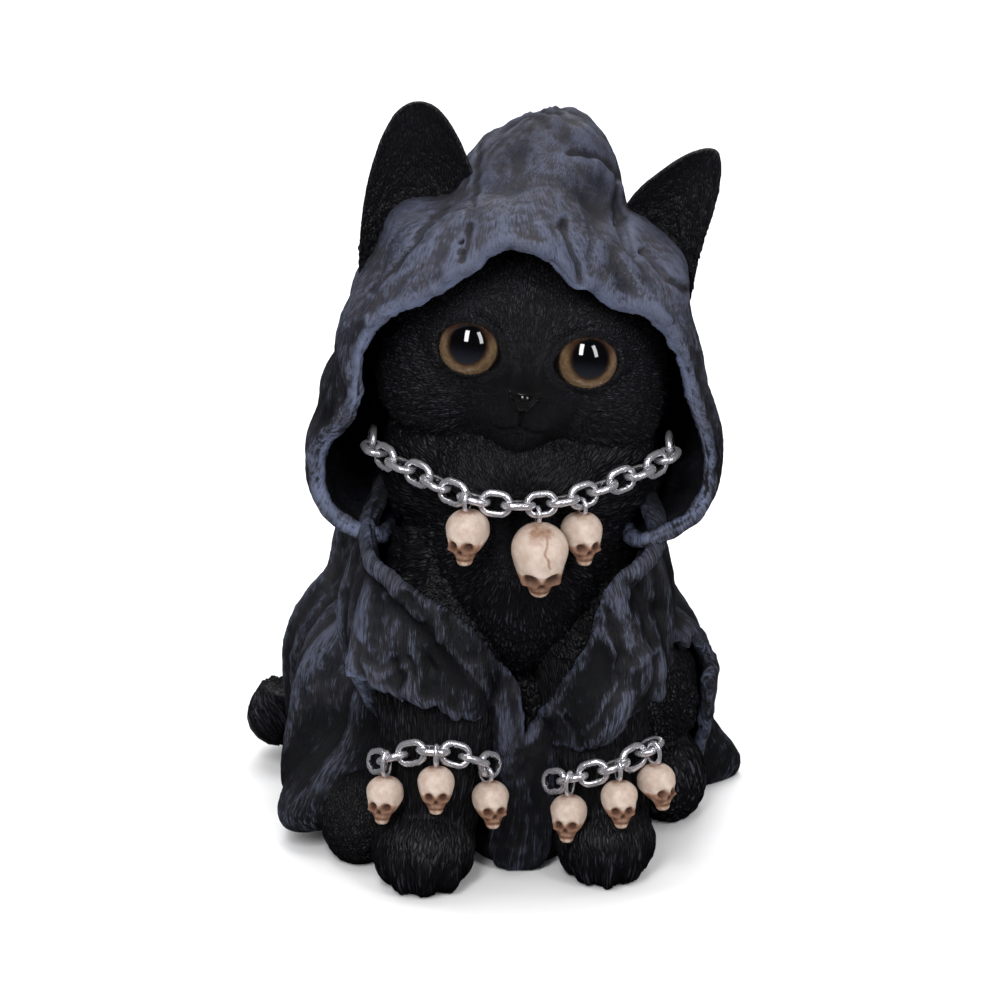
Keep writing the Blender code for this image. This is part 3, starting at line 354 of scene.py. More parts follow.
# Rounded masses of the body: middle and radii
CHEST_FORMS = (
    ((3.0, -16.0, 66.0), (23.5, 24.0, 28.0)),  # chest
    ((3.5, -20.0, 86.0), (21.0, 21.0, 16.0)),  # throat
    ((4.0, -13.0, 81.0), (30.0, 22.0, 16.5)),  # ruff under the hood
    ((4.5, -15.0, 88.5), (28.5, 21.5, 14.5)),  # ruff under the cheeks
    ((5.5, -13.0, 22.0), (11.0, 15.0, 36.0)),  # belly fur between the forelegs
)
LEFT_FOREPAW = ((-15.8, -38.5, 7.0), (10.6, 14.0, 10.4))
RIGHT_FOREPAW = ((21.8, -34.0, 7.0), (10.4, 13.0, 10.4))
LEFT_HIND_PAW = ((-29.5, -21.0, 7.5), (8.2, 13.5, 10.6))
RIGHT_HIND_FORMS = (
    ((21.0, 11.0, 23.0), (19.0, 22.0, 24.0)),  # haunch
    ((28.5, 5.0, 25.5), (14.2, 13.0, 17.0)),  # its fur, where the robe opens beside it
    ((36.0, 2.0, 7.5), (8.2, 13.0, 10.4)),  # paw
)
# Legs and tail: points along the middle, each with a radius
LEFT_FORELEG = (
    (-9.0, -18.0, 68.0, 15.0), (-12.0, -26.5, 48.0, 13.8), (-13.0, -32.0, 28.0, 12.4),
    (-15.4, -36.0, 8.0, 9.8),
)
RIGHT_FORELEG = (
    (14.0, -16.0, 68.0, 14.0), (18.0, -24.0, 48.0, 12.0), (20.5, -29.5, 27.0, 10.4), (21.7, -32.5, 8.0, 9.6),
)
TAIL = (
    (-16.0, 44.0, 8.0, 7.6), (-38.0, 41.0, 8.0, 7.2), (-49.0, 33.0, 8.5, 6.6), (-49.0, 25.5, 13.0, 6.0),
    (-47.5, 24.5, 19.5, 4.6),
)
TAIL_END = (-48.5, 26.5)


def ear_point(ear, u, t):
    """An ear from its base to its tip, cupped towards the front."""
    outer, inner = (along(side, t) for side in ear)
    u = u[..., None]
    backwards = np.array((0.0, 1.0, 0.1))
    cup = 6.5 * 4 * u * (1 - u) * (1 - t[..., None] ** 2)
    return outer * (1 - u) + inner * u + backwards * cup


# Chains: the axis they go round, heights along them, degrees from and to, distance from the fur
CHAINS = {
    "neck_chain": {
        "axis": (3.5, -22.0),
        "heights": ((0, 90.0), (0.15, 88.0), (0.3, 85.0), (0.5, 83.0), (0.7, 84.0), (0.85, 86.5), (1, 89.0)),
        "turns": (-96, 94),
        "clearance": 3.0,
    },
    "bracelet_left_chain": {
        "axis": (-13.5, -32.0),
        "heights": ((0, 26.5), (0.5, 31.5), (1, 26.0)),
        "turns": (-58, 56),
        "clearance": 3.0,
    },
    "bracelet_right_chain": {
        "axis": (20.5, -29.5),
        "heights": ((0, 22.0), (0.5, 26.0), (1, 29.0)),
        "turns": (-44, 52),
        "clearance": 3.0,
    },
}
LINK_OVERLAP = 0.0004  # neighbouring links sink this far into each other
LINK_LEAN = 10  # degrees a link leans from lying flat; the next stands a quarter turn from it

# Skulls: chain, place across, width, degrees turned to the side, degrees tipped forwards
SKULLS = {
    "neck_skull_left": ("neck_chain", -6.6, SKULL_WIDTH * 1.15, -24, 0),
    "neck_skull_centre": ("neck_chain", 6.0, BIG_SKULL_WIDTH, 6, 21),
    "neck_skull_right": ("neck_chain", 15.4, SKULL_WIDTH * 1.1, 24, 0),
    "bracelet_left_skull_outer": ("bracelet_left_chain", -23.2, SKULL_WIDTH, -18, -8),
    "bracelet_left_skull_middle": ("bracelet_left_chain", -12.4, SKULL_WIDTH, 0, -8),
    "bracelet_left_skull_inner": ("bracelet_left_chain", -3.6, SKULL_WIDTH, 14, -8),
    "bracelet_right_skull_inner": ("bracelet_right_chain", 14.2, SKULL_WIDTH, -12, -8),
    "bracelet_right_skull_middle": ("bracelet_right_chain", 24.2, SKULL_WIDTH, 10, -8),
    "bracelet_right_skull_outer": ("bracelet_right_chain", 31.0, SKULL_WIDTH, 42, -8),
}


# Cloth, fur and clay in numbers


def hashed(x, y, z, seed):
    """A repeatable value from -1 to 1 for each corner of a grid."""
    mixed = (x * 374761393 + y * 668265263 + z * 1440662683 + seed * 974634777) & 0xFFFFFFFF
    mixed = ((mixed ^ (mixed >> 13)) * 1274126177) & 0xFFFFFFFF
    mixed = ((mixed ^ (mixed >> 16)) * 668265263) & 0xFFFFFFFF
    return ((mixed >> 8) & 0xFFFF) / 32767.5 - 1


def lumps(places, seed):
    """Smooth lumps about one unit across, from -1 to 1."""
    floor = np.floor(places).astype(np.int64)
    part = places - floor
    ease = part * part * (3 - 2 * part)
    total = 0
    for i, j, k in itertools.product((0, 1), repeat=3):
        share = abs(1 - i - ease[:, 0]) * abs(1 - j - ease[:, 1]) * abs(1 - k - ease[:, 2])
        total = total + share * hashed(floor[:, 0] + i, floor[:, 1] + j, floor[:, 2] + k, seed)
    return total


def drift(places, seed):
    """A soft shift for each place, up to one unit each way."""
    return np.stack([lumps(places, seed + k) for k in range(3)], 1)


def layers(places, seed, count=3):
    """Lumps with finer lumps on them."""
    total = 0
    for level in range(count):
        total = total + lumps(places * 2.03**level + 7.1 * level, seed + level) * 0.5**level
    return total


def ridges(places, seed):
    """Narrow ridges with broad valleys, from 0 to 1."""
    return (1 - abs(lumps(places, seed))) ** 2


def cells(places, seed):
    """How far each place is from its tuft's border, in tufts' widths, and the tuft's own number."""
    floor = np.floor(places).astype(np.int64)
    part = places - floor
    nearest = np.full(len(places), 9.0)
    second = np.full(len(places), 9.0)
    own = np.zeros(len(places))
    for steps in itertools.product((-1, 0, 1), repeat=3):
        x, y, z = (floor[:, n] + step for n, step in enumerate(steps))
        away = 0
        for n, step in enumerate(steps):
            away = away + (step + 0.5 + 0.45 * hashed(x, y, z, seed + n) - part[:, n]) ** 2
        closer = away < nearest
        second = np.where(closer, nearest, np.minimum(second, away))
        own = np.where(closer, hashed(x, y, z, seed + 3), own)
        nearest = np.where(closer, away, nearest)
    return np.sqrt(second) - np.sqrt(nearest), own


def tufts(places, seed, share=0.35):
    """How far carved tufts stand out: cut between them, and each by a share of its own."""
    tuft, own = cells(places, seed)
    return np.minimum(tuft, 0.5) * 2 - 0.6 + share * own


def fan_out(places, root, spread, length):
    """Coordinates whose cells are long in the direction that fur grows away from a root."""
    away = places - np.array(root)
    reach = np.linalg.norm(away, axis=1)[:, None] + 1e-6
    return away / reach * (spread + reach / length)


def run_down(places, middle, spread, length, twist=0.0):
    """Coordinates whose cells run down a leg and fan out over the paw, round a middle at each height."""
    x, y = middle(places[:, 2])
    across = places[:, 0] - x
    ahead = places[:, 1] - y
    reach = np.hypot(across, ahead)
    turn = np.arctan2(across, -ahead) + twist * places[:, 2]
    along_hair = (reach - places[:, 2]) / length
    return np.stack([np.sin(turn) * spread, np.cos(turn) * spread, along_hair], 1)


# Making meshes


def evaluated_mesh(obj):
    """The object's mesh with its modifiers applied."""
    bpy.context.view_layer.update()
    graph = bpy.context.evaluated_depsgraph_get()
    return bpy.data.meshes.new_from_object(obj.evaluated_get(graph))


def object_from(name, mesh):
    obj = bpy.data.objects.new(name, mesh)
    bpy.context.scene.collection.objects.link(obj)
    return obj


def consumed(obj):
    """The object's final mesh, with the object itself removed."""
    mesh = evaluated_mesh(obj)
    bpy.data.objects.remove(obj, do_unlink=True)
    return mesh


def mesh_from(name, places, faces):
    mesh = bpy.data.meshes.new(name)
    mesh.from_pydata(places.tolist(), [], [list(face) for face in faces])
    mesh.update()
    return mesh


def outward(mesh):
    """Merges doubled corners and turns every face outwards."""
    bm = bmesh.new()
    bm.from_mesh(mesh)
    bmesh.ops.remove_doubles(bm, verts=bm.verts, dist=1e-6)
    bmesh.ops.recalc_face_normals(bm, faces=bm.faces)
    bm.to_mesh(mesh)
    bm.free()
    return mesh


def grid_faces(across, down):
    """The faces between the places of a grid, row by row."""
    first = (np.arange(across - 1)[:, None] * down + np.arange(down - 1)[None]).ravel()
    return np.stack([first, first + 1, first + down + 1, first + down], 1)


def sheet(point, steps, thickness, torn=None):
    """A bent sheet of even thickness, from a function of two shares that gives places in modules."""
    u, v = np.meshgrid(*(np.linspace(0, 1, count) for count in steps), indexing="ij")
    places = point(u, v).reshape(-1, 3)
    faces = grid_faces(*steps)
    if torn is not None:
        faces = faces[~torn(places[faces].mean(1))]
    obj = object_from("sheet", outward(mesh_from("sheet", places * M, faces)))
    wall = obj.modifiers.new("wall", "SOLIDIFY")
    wall.thickness = thickness
    wall.offset = 0
    wall.use_even_offset = False
    return obj


def ball_directions(segments, crowding=0.0):
    """Evenly spread directions from a cube's grid, crowded towards the front, with their faces."""
    line = np.tan(np.linspace(-math.pi / 4, math.pi / 4, segments + 1))
    a, b = np.meshgrid(line, line, indexing="ij")
    one = np.ones_like(a)
    sides = [(a, b, one), (b, a, -one), (one, a, b), (-one, b, a), (b, one, a), (a, -one, b)]
    places = np.concatenate([np.stack(side, -1).reshape(-1, 3) for side in sides])
    places /= np.linalg.norm(places, axis=1)[:, None]
    keys = np.round(places * 1e6).astype(np.int64)
    _, first, same = np.unique(keys, axis=0, return_index=True, return_inverse=True)
    same = same.ravel()
    width = segments + 1
    one_side = grid_faces(width, width)[:, [0, 3, 2, 1]]
    faces = same[np.concatenate([one_side + side * width * width for side in range(6)])]
    places = places[first]
    angle = np.arccos(np.clip(-places[:, 1], -1, 1))
    closer = angle - crowding * np.sin(angle)
    turn = np.arctan2(places[:, 2], places[:, 0])
    made = np.stack([np.sin(closer) * np.cos(turn), -np.cos(closer), np.sin(closer) * np.sin(turn)], 1)
    return made, faces


def ball(centre, radii):
    """A mass of clay, in modules."""
    directions, faces = ball_directions(24)
    places = directions * np.array(radii) + np.array(centre)
    return object_from("ball", outward(mesh_from("ball", places * M, faces)))


def limb(points):
    """A tapering tube through points that each have a radius."""
    data = bpy.data.curves.new("limb", "CURVE")
    data.dimensions = "3D"
    data.bevel_depth = 1.0
    data.bevel_resolution = 6
    data.use_fill_caps = True
    spline = data.splines.new("NURBS")
    spline.points.add(len(points) - 1)
    for knot, (*place, radius) in zip(spline.points, points):
        knot.co = (*(Vector(place) * M), 1)
        knot.radius = radius * M
    spline.use_endpoint_u = True
    spline.order_u = 3
    spline.resolution_u = 10
    return object_from("limb", consumed(object_from("limb", data)))


def fused(name, objects, grain, settling=2):
    """Loose closed forms as one even skin, by a voxel remesh of the given grain in modules."""
    bm = bmesh.new()
    for obj in objects:
        mesh = consumed(obj)
        bm.from_mesh(mesh)
        bpy.data.meshes.remove(mesh)
    mesh = bpy.data.meshes.new(name)
    bm.to_mesh(mesh)
    bm.free()
    obj = object_from(name, mesh)
    fuse = obj.modifiers.new("fuse", "REMESH")
    fuse.mode = "VOXEL"
    fuse.voxel_size = grain * M
    settle = obj.modifiers.new("settle", "SMOOTH")
    settle.factor = 0.5
    settle.iterations = settling
    return consumed(obj)


def places_of(mesh):
    """Every corner of a mesh, in modules."""
    flat = np.empty(len(mesh.vertices) * 3)
    mesh.vertices.foreach_get("co", flat)
    return flat.reshape(-1, 3) / M


def move_to(mesh, places):
    mesh.vertices.foreach_set("co", (places * M).ravel())
    mesh.update()


def normals_of(mesh):
    flat = np.empty(len(mesh.vertices) * 3)
    mesh.vertices.foreach_get("normal", flat)
    return flat.reshape(-1, 3)


def edges_of(mesh):
    flat = np.empty(len(mesh.edges) * 2, dtype=np.int32)
    mesh.edges.foreach_get("vertices", flat)
    return flat.reshape(-1, 2)


def settled(values, edges, rounds):
    """Values at the corners, averaged again and again with their neighbours'."""
    count = len(values)
    one, other = edges[:, 0], edges[:, 1]
    met = np.bincount(one, minlength=count) + np.bincount(other, minlength=count) + 1.0
    columns = values if values.ndim == 2 else values[:, None]
    for _ in range(rounds):
        fresh = np.empty_like(columns)
        for k in range(columns.shape[1]):
            column = columns[:, k]
            total = np.bincount(one, weights=column[other], minlength=count)
            total += np.bincount(other, weights=column[one], minlength=count)
            fresh[:, k] = (total + column) / met
        columns = fresh
    return columns if values.ndim == 2 else columns[:, 0]


def raised(mesh, rounds):
    """How far each corner stands above the surface round it, in modules."""
    places = places_of(mesh)
    return ((places - settled(places, edges_of(mesh), rounds)) * normals_of(mesh)).sum(1)


def write(mesh, **values):
    """Leaves values at a mesh's corners for its finish, one number or three at each."""
    for name, column in values.items():
        kind, field = ("FLOAT", "value") if column.ndim == 1 else ("FLOAT_VECTOR", "vector")
        layer = mesh.attributes.new(name, kind, "POINT")
        layer.data.foreach_set(field, column.astype(np.float32).ravel())


def simplified(mesh, most):
    """The same mesh with at most so many triangles."""
    count = sum(len(face.vertices) - 2 for face in mesh.polygons)
    if count <= most:
        return mesh
    obj = object_from("simpler", mesh)
    simplify = obj.modifiers.new("simplify", "DECIMATE")
    simplify.ratio = most / count
    return consumed(obj)


def piece(name, mesh, finish, stands_for):
    """A finished piece of the figurine."""
    mesh.polygons.foreach_set("use_smooth", np.ones(len(mesh.polygons), dtype=bool))
    mesh.materials.clear()
    mesh.materials.append(finish)
    mesh.name = name
    obj = object_from(name, mesh)
    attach(obj, "root")
    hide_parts(*stands_for)
    return obj


# The head

NOSE_TOP = -1.9  # heights of the nose, below the middle of the head
NOSE_FOOT = -6.2
NOSE_HALF = 3.5
MOUTH_HEIGHT = -9.9
MOUTH_HALF = 6.4
LID_HALF = (6.0, 5.3)  # half the opening between the lids, across and up
LID = 0.6  # how far a lid stands over the eyeball
FACE_ROOT = (0.0, -29.5, -3.0)  # the fur of the face grows away from here


def eye_axes(side):
    """The eye's middle in the head, the way it looks, and the ways across and up."""
    middle = np.array((side * EYE_SIDE, -EYE_FORWARD, EYE_RISE))
    look = np.array((0.12 * side, -1.0, 0.04))
    look /= np.linalg.norm(look)
    across = np.array((1.0, 0, 0)) - look * look[0]
    across /= np.linalg.norm(across)
    return middle, look, across, np.cross(look, across)


def round_the_eye(places, side):
    """How far round and out from an eye's opening each place is: 1 is the lid's edge."""
    middle, look, across, upward = eye_axes(side)
    away = places - middle
    a = away @ across
    b = away @ upward
    turn = np.degrees(np.arctan2(b, a * side))
    # Outer corner at 0 degrees; the inner corner dips towards the nose
    inner = bump((turn + 158 + 180) % 360 - 180, 0, 26)
    outer = bump((turn - 8 + 180) % 360 - 180, 0, 24)
    reach = np.hypot(a / LID_HALF[0], b / LID_HALF[1]) / (1 + 0.17 * inner + 0.07 * outer)
    return reach, a, b, away @ look


def cut_lids(places):
    radius = EYE_RADIUS / M
    for side in (-1, 1):
        _, look, _, _ = eye_axes(side)
        reach, a, b, ahead = round_the_eye(places, side)
        front = (ahead > -3) & (reach < 2.2)
        out = np.minimum(np.hypot(a, b), radius * 0.90)
        ball_height = np.sqrt(radius**2 - out**2)
        step = smooth_step((reach - 0.95) / 0.09)
        wanted = (ball_height - 0.9) * (1 - step) + (ball_height + LID) * step
        free = smooth_step((reach - 1.06) / 0.55)
        height = wanted * (1 - free) + ahead * free - 0.35 * bump(reach, 1.33, 0.09)
        places = np.where(front[:, None], places + (height - ahead)[:, None] * look, places)
    return places


def nose_and_mouth(places):
    """The nose stands out, its nostrils and the mouth are cut in. Also how far each place is nose."""
    x, z = places[:, 0], places[:, 2]
    side = abs(x)
    front = smooth_step((-places[:, 1] - 12) / 4)
    down = np.clip((NOSE_TOP - z) / (NOSE_TOP - NOSE_FOOT), -1, 2)
    half = NOSE_HALF * np.clip(1 - down, 0, 1) ** 0.7 + 0.7
    nose = smooth_step((half - side) / 0.9) * smooth_step((down + 0.05) / 0.2)
    nose = nose * smooth_step((1.05 - down) / 0.2) * front
    nostrils = spot(side, z, (2.0, -4.0), (1.1, 0.7), 0.8) * front
    curl = spot(side, z, (2.9, -3.4), (1.0, 1.2), 0.9) * front
    between = bump(x, 0, 0.38) * smooth_step((NOSE_FOOT + 0.6 - z) / 0.6)
    between = between * smooth_step((z - MOUTH_HEIGHT + 0.3) / 0.6)
    bow = MOUTH_HEIGHT - 1.1 * np.sin(np.clip(side / MOUTH_HALF, 0, 1) * math.pi * 0.8)
    mouth = bump(z, bow, 0.42) * smooth_step((MOUTH_HALF - side) / 2.0)
    pads = spot(side, z, (4.4, -8.0), (4.0, 3.2), 1.0)
    under = spot(x, z, (0, -13.6), (5.0, 2.6), 1.0)
    depth = 0.9 * nose + 0.45 * curl - 1.0 * nostrils - 0.75 * (between + mouth) + 0.8 * pads + 0.5 * under
    places = places.copy()
    places[:, 1] -= depth * front
    return places, np.clip(nose + curl, 0, 1)


def swollen(directions):
    """The head's main mass, as in the solid model."""
    places = directions * np.array(HEAD_RADII)
    for towards, width, height in HEAD_SWELLS:
        towards = np.array(towards) / np.linalg.norm(towards)
        apart = np.degrees(np.arccos(np.clip(directions @ towards, -1, 1)))
        places = places + directions * (height * bump(apart, 0, width))[:, None]
    return places


def to_world(places):
    turn = np.array(Matrix.Rotation(HEAD_ROLL, 3, "Y"))
    return places @ turn.T + np.array(HEAD_MIDDLE)


def make_head(fur):
    directions, faces = ball_directions(104, 0.36)
    places = swollen(directions)
    places, nose = nose_and_mouth(places)
    # Tufts of fur, deepest on the cheeks
    quiet = np.ones(len(places))
    for side in (-1, 1):
        quiet = quiet * smooth_step((round_the_eye(places, side)[0] - 1.05) / 0.5)
    quiet = quiet * smooth_step((np.hypot(places[:, 0] / 6.5, (places[:, 2] + 4) / 5.0) - 0.8) / 0.6)
    cheeks = smooth_step((abs(places[:, 0]) - 6) / 12) * smooth_step((6 - places[:, 2]) / 10)
    lift = (0.16 + 0.34 * cheeks) * tufts(fan_out(places, FACE_ROOT, 15.0, 6.5), 11)
    places = places + directions * (lift * quiet)[:, None]
    places = cut_lids(places)
    mesh = mesh_from("cat_head", to_world(places) * M, faces)
    outward(mesh)
    grey = np.zeros(len(places))
    for side in (-1, 1):
        reach = round_the_eye(places, side)[0]
        grey = grey + bump(reach, 1.35, 0.28) * smooth_step((places[:, 2] + 4) / 8)
    strands = fan_out(places, FACE_ROOT, 38.0, 2.3)
    write(mesh, strands=strands, greying=np.clip(grey, 0, 1), bare=nose, tuft=np.clip(lift * 2, -1, 1))
    piece("cat_head", mesh, fur, ["figure"])


def make_eye(side, name, node, finish):
    directions, faces = ball_directions(30, 0.3)
    middle, look, across, upward = eye_axes(side)
    radius = EYE_RADIUS / M
    local = directions * radius
    # The flat back lies where the solid model's does
    local[:, 1] = np.minimum(local[:, 1], EYE_BACK)
    places = local[:, :1] * across - local[:, 1:2] * look + local[:, 2:] * upward + middle
    mesh = outward(mesh_from(name, to_world(places) * M, faces))
    write(mesh, gaze=directions)
    piece(name, mesh, finish, [node])


# Ears, coat, paws and tail


def ear_shell(ear):
    """An ear whose wall thins to a soft edge."""
    steps = 90
    u, t = np.meshgrid(np.linspace(0, 1, steps), np.linspace(0, 1, steps), indexing="ij")
    front = ear_point(ear, u, t)
    wall = EAR_WALL / M * (0.22 + 0.78 * np.sqrt(np.clip(4 * u * (1 - u), 0, 1)) * (1 - t**6))
    shift = np.array((0.0, 0.97, 0.25)) * wall[..., None] / 2
    places = np.concatenate([(front - shift).reshape(-1, 3), (front + shift).reshape(-1, 3)])
    one = grid_faces(steps, steps)
    grid = np.arange(steps * steps).reshape(steps, steps)
    rim = np.concatenate([grid[0], grid[1:, -1], grid[-1, -2::-1], grid[-2:0:-1, 0]])
    after = np.roll(rim, -1)
    far = steps * steps
    sides = np.stack([rim, after, after + far, rim + far], 1)
    faces = np.concatenate([one, one + far, sides])
    return object_from("ear", outward(mesh_from("ear", places * M, faces)))


def make_ear(name, ear, seed, fur):
    mesh = fused(name, [ear_shell(ear)], 0.42, 3)
    places = places_of(mesh)
    root = (np.array(ear[0][0]) + np.array(ear[1][1])) / 2 + np.array((0, -1.0, -9.0))
    hollow = smooth_step((-normals_of(mesh)[:, 1] - 0.2) / 0.5)
    lift = (0.12 + 0.40 * hollow) * tufts(fan_out(places, root, 15.0, 9.0), seed, 0.3)
    low = smooth_step((root[2] + 34 - places[:, 2]) / 22)
    move_to(mesh, places + normals_of(mesh) * (lift * (0.35 + 0.65 * low))[:, None])
    write(
        mesh,
        strands=fan_out(places, root, 38.0, 3.2),
        greying=0.3 * smooth_step((raised(mesh, 12) - 0.1) / 0.3) - 0.5,
        bare=0.6 - 0.3 * low,
        tuft=np.clip(lift * 2, -1, 1),
    )
    piece(name, mesh, fur, ["figure"])


def floor_at_ground(mesh):
    """Nothing reaches below the ground."""
    places = places_of(mesh)
    places[:, 2] = np.maximum(places[:, 2], 0)
    move_to(mesh, places)


def furred(name, mesh, fur, hair, depth, seed, greying=0.0):
    """A piece of the coat: tufts cut into its mesh, with the coordinates of finer strands."""
    coarse, fine = hair
    places = places_of(mesh)
    tuft = tufts(coarse, seed)
    move_to(mesh, places + normals_of(mesh) * (depth * tuft)[:, None])
    bare = np.zeros(len(places))
    write(mesh, strands=fine, tuft=np.clip(tuft, -1, 1), bare=bare, greying=bare + greying)
    floor_at_ground(mesh)
    piece(name, mesh, fur, ["figure"])


CHEST_ROOT = (4.0, -42.0, 76.0)


def chest_hair(places):
    """Coordinates of the chest's tufts, and of the strands on them."""
    return fan_out(places, CHEST_ROOT, 9.0, 8.0), fan_out(places, CHEST_ROOT, 26.0, 3.6)


def make_chest(fur):
    mesh = fused("chest", [ball(*form) for form in CHEST_FORMS], 0.66)
    places = places_of(mesh)
    # The top of the ruff, under the chin, is painted in shade.
    furred("chest_fur", mesh, fur, chest_hair(places), 0.55, 41, -0.5 * smooth_step((places[:, 2] - 76) / 8))


def leg_middle(points, lean):
    """The middle of a leg at a height, as x and y."""
    rows = sorted((z, x, y) for x, y, z, _ in points)

    def at(z):
        x = smooth_curve(z, [(row[0], row[1]) for row in rows])
        y = smooth_curve(z, [(row[0], row[2]) for row in rows])
        return x, y + lean

    return at


def make_foreleg(name, leg, paw, seed, fur):
    mesh = fused(name, [limb(leg), ball(*paw)], 0.48)
    places = places_of(mesh)
    middle = leg_middle(leg, 2.0)
    toe_middle = paw[0]
    turn = np.degrees(np.arctan2(places[:, 0] - toe_middle[0], -(places[:, 1] - toe_middle[1] - 9)))
    low = smooth_step((13 - places[:, 2]) / 9)
    toes = sum(bump(turn, at, 4.5) for at in (-27, -8, 11, 30))
    move_to(mesh, places - normals_of(mesh) * (1.0 * toes * low)[:, None])
    # The shoulder's fur is the chest's, the leg's runs down it. From the shoulder up, under the sleeve, the
    # fur is painted in shade.
    shoulder = smooth_step((places[:, 2] - 44) / 6)
    above = (places[:, 2] > 47)[:, None]
    own = (run_down(places, middle, 8.5, 8.0), run_down(places, middle, 24.0, 4.0))
    hair = [np.where(above, one, other) for one, other in zip(chest_hair(places), own)]
    furred(name, mesh, fur, hair, 0.30 + 0.30 * low + 0.25 * shoulder, seed, -0.45 * shoulder)


def make_hind(name, forms, top, seed, fur, grain, depth=0.3, greying=0.0):
    mesh = fused(name, [ball(*form) for form in forms], grain)
    places = places_of(mesh)
    hair = (fan_out(places, top, 9.0, 8.0), fan_out(places, top, 30.0, 3.6))
    furred(name, mesh, fur, hair, depth, seed, greying)


def make_tail(fur):
    mesh = fused("tail", [limb(TAIL)], 0.45)
    places = places_of(mesh)
    # Strands wind round the tail's upturned end
    hair = [run_down(places, lambda z: TAIL_END, *size, 0.09) for size in ((6.0, 9.0), (17.0, 4.5))]
    furred("tail", mesh, fur, hair, 0.75, 71, 0.8)


# The cloak

CROWN = (9.0, 4.0, 150.0)
LIP = 0.55  # how much thicker the cloth is along its edges
HOOD_GRAIN = 0.55
ROBE_GRAIN = 0.62
HOOD_STEPS = (420, 150)
ROBE_STEPS = (640, 150)
EDGE_POINTS = 1400
# The cloth inside this room within the hood is painted in shade.
HOOD_INSIDE = (33.0, 31.0, 25.0)  # radii of the dark room within the hood
CLOTH_FACES = 160000  # the most triangles in one piece of cloth
# Creases and crests that are laid one by one, as seen from in front: the line, its width, how deep it is cut
HOOD_CREASES = (
    (((13.2, 59.0), (15.0, 52.5), (16.9, 45.0)), 0.8, 2.0),  # beside the tongue of the front edge
    (((8.5, 58.0), (12.6, 50.5), (14.6, 46.0)), 1.6, -1.0),
    (((19.5, 55.0), (22.0, 48.0), (24.5, 43.5)), 1.8, -0.8),
    (((-6.4, 58.0), (-8.2, 50.0)), 0.7, 1.2),  # above the tear
    (((-10.2, 53.0), (-11.6, 45.5)), 1.4, -0.7),
    (((15.5, 73.6), (20.4, 72.4), (24.4, 68.9), (27.1, 67.4)), 1.1, 1.9),  # under the crown's side
    (((16.5, 70.0), (21.5, 68.8), (25.0, 65.0)), 1.6, -1.2),
    (((25.2, 68.5), (24.6, 62.5), (26.2, 58.0), (28.2, 52.4)), 1.0, 2.8),  # at the right ear
    (((30.6, 52.6), (35.6, 46.9), (40.1, 43.6), (42.2, 41.7)), 0.7, 1.5),
    (((26.0, 51.0), (30.5, 44.0), (35.0, 38.0)), 1.4, -0.9),
    (((-4.2, 76.0), (-4.7, 69.8), (-5.3, 63.0)), 0.8, 1.5),  # at the left ear
    (((-6.0, 63.2), (-13.9, 59.5), (-17.2, 55.6), (-22.6, 49.5), (-27.0, 44.4)), 0.7, 1.3),
    (((-8.5, 60.0), (-15.0, 53.5), (-24.5, 44.5)), 1.6, -0.9),
    (((-27.8, 38.0), (-25.5, 33.0), (-24.6, 27.0)), 1.1, -1.1),  # the left edge curls out
    (((-30.5, 36.0), (-30.8, 25.0), (-33.5, 15.0)), 1.4, 1.0),
    (((-33.5, 30.0), (-35.5, 18.0), (-38.5, 9.0)), 1.6, -0.9),
    (((41.0, 30.0), (43.6, 16.0), (45.0, 4.0)), 1.6, 0.9),
    (((37.5, 30.0), (40.5, 18.0), (42.5, 8.0)), 1.8, -0.9),
)
ROBE_CREASES = (
    (((-26.0, -4.5), (-22.0, -8.5), (-17.4, -11.8), (-12.8, -16.0), (-12.4, -18.9)), 1.1, -1.0),  # left lapel
    (((-12.4, -18.9), (-13.3, -24.6), (-12.3, -29.2)), 1.1, -1.2),
    (((-12.3, -29.2), (-8.4, -32.6), (-6.3, -35.3), (-2.7, -39.9), (-0.6, -43.7), (0.6, -52.5)), 0.9, -0.9),
    (((-10.4, -17.5), (-10.8, -24.5), (-9.4, -29.5), (-5.6, -33.5)), 1.1, 1.3),
    (((-2.2, -37.4), (-1.4, -40.0)), 0.6, 1.8),
    (((-19.5, -20.5), (-17.0, -24.5), (-17.5, -31.0), (-14.5, -36.0)), 1.6, 1.1),
    (((-23.5, -20.5), (-20.5, -18.0), (-16.0, -20.5)), 1.2, -0.8),
    (((-27.5, -34.0), (-25.0, -36.5), (-21.0, -35.0)), 0.9, -0.6),
    (((-22.5, -33.5), (-21.0, -38.0)), 0.7, 1.0),
    (((-19.5, -33.5), (-18.0, -38.0)), 0.7, 1.0),
    (((-16.0, -34.0), (-14.0, -39.0)), 0.7, 0.9),
    (((-34.5, -13.0), (-32.5, -24.0), (-30.0, -34.0), (-27.5, -42.0), (-24.0, -50.0)), 1.1, 1.4),
    (((25.3, -9.8), (20.8, -13.4), (19.2, -15.9), (19.7, -21.0), (22.3, -27.1), (23.5, -32.7)), 1.0, -1.2),
    (((23.5, -32.7), (23.8, -38.8), (21.2, -44.4), (18.7, -47.5), (16.2, -48.5)), 0.9, -0.9),
    (((22.8, -16.5), (22.2, -21.0), (25.0, -27.0), (26.0, -33.0)), 1.2, 1.2),
    (((14.6, -45.5), (16.9, -50.5)), 0.8, 1.6),
    (((27.0, -36.5), (30.5, -33.8), (32.5, -31.0)), 0.9, -0.7),
    (((26.0, -17.0), (30.0, -19.0), (33.5, -24.0)), 1.5, 0.9),
    (((44.0, -29.0), (43.5, -36.0), (42.5, -42.0)), 1.2, 1.0),
)


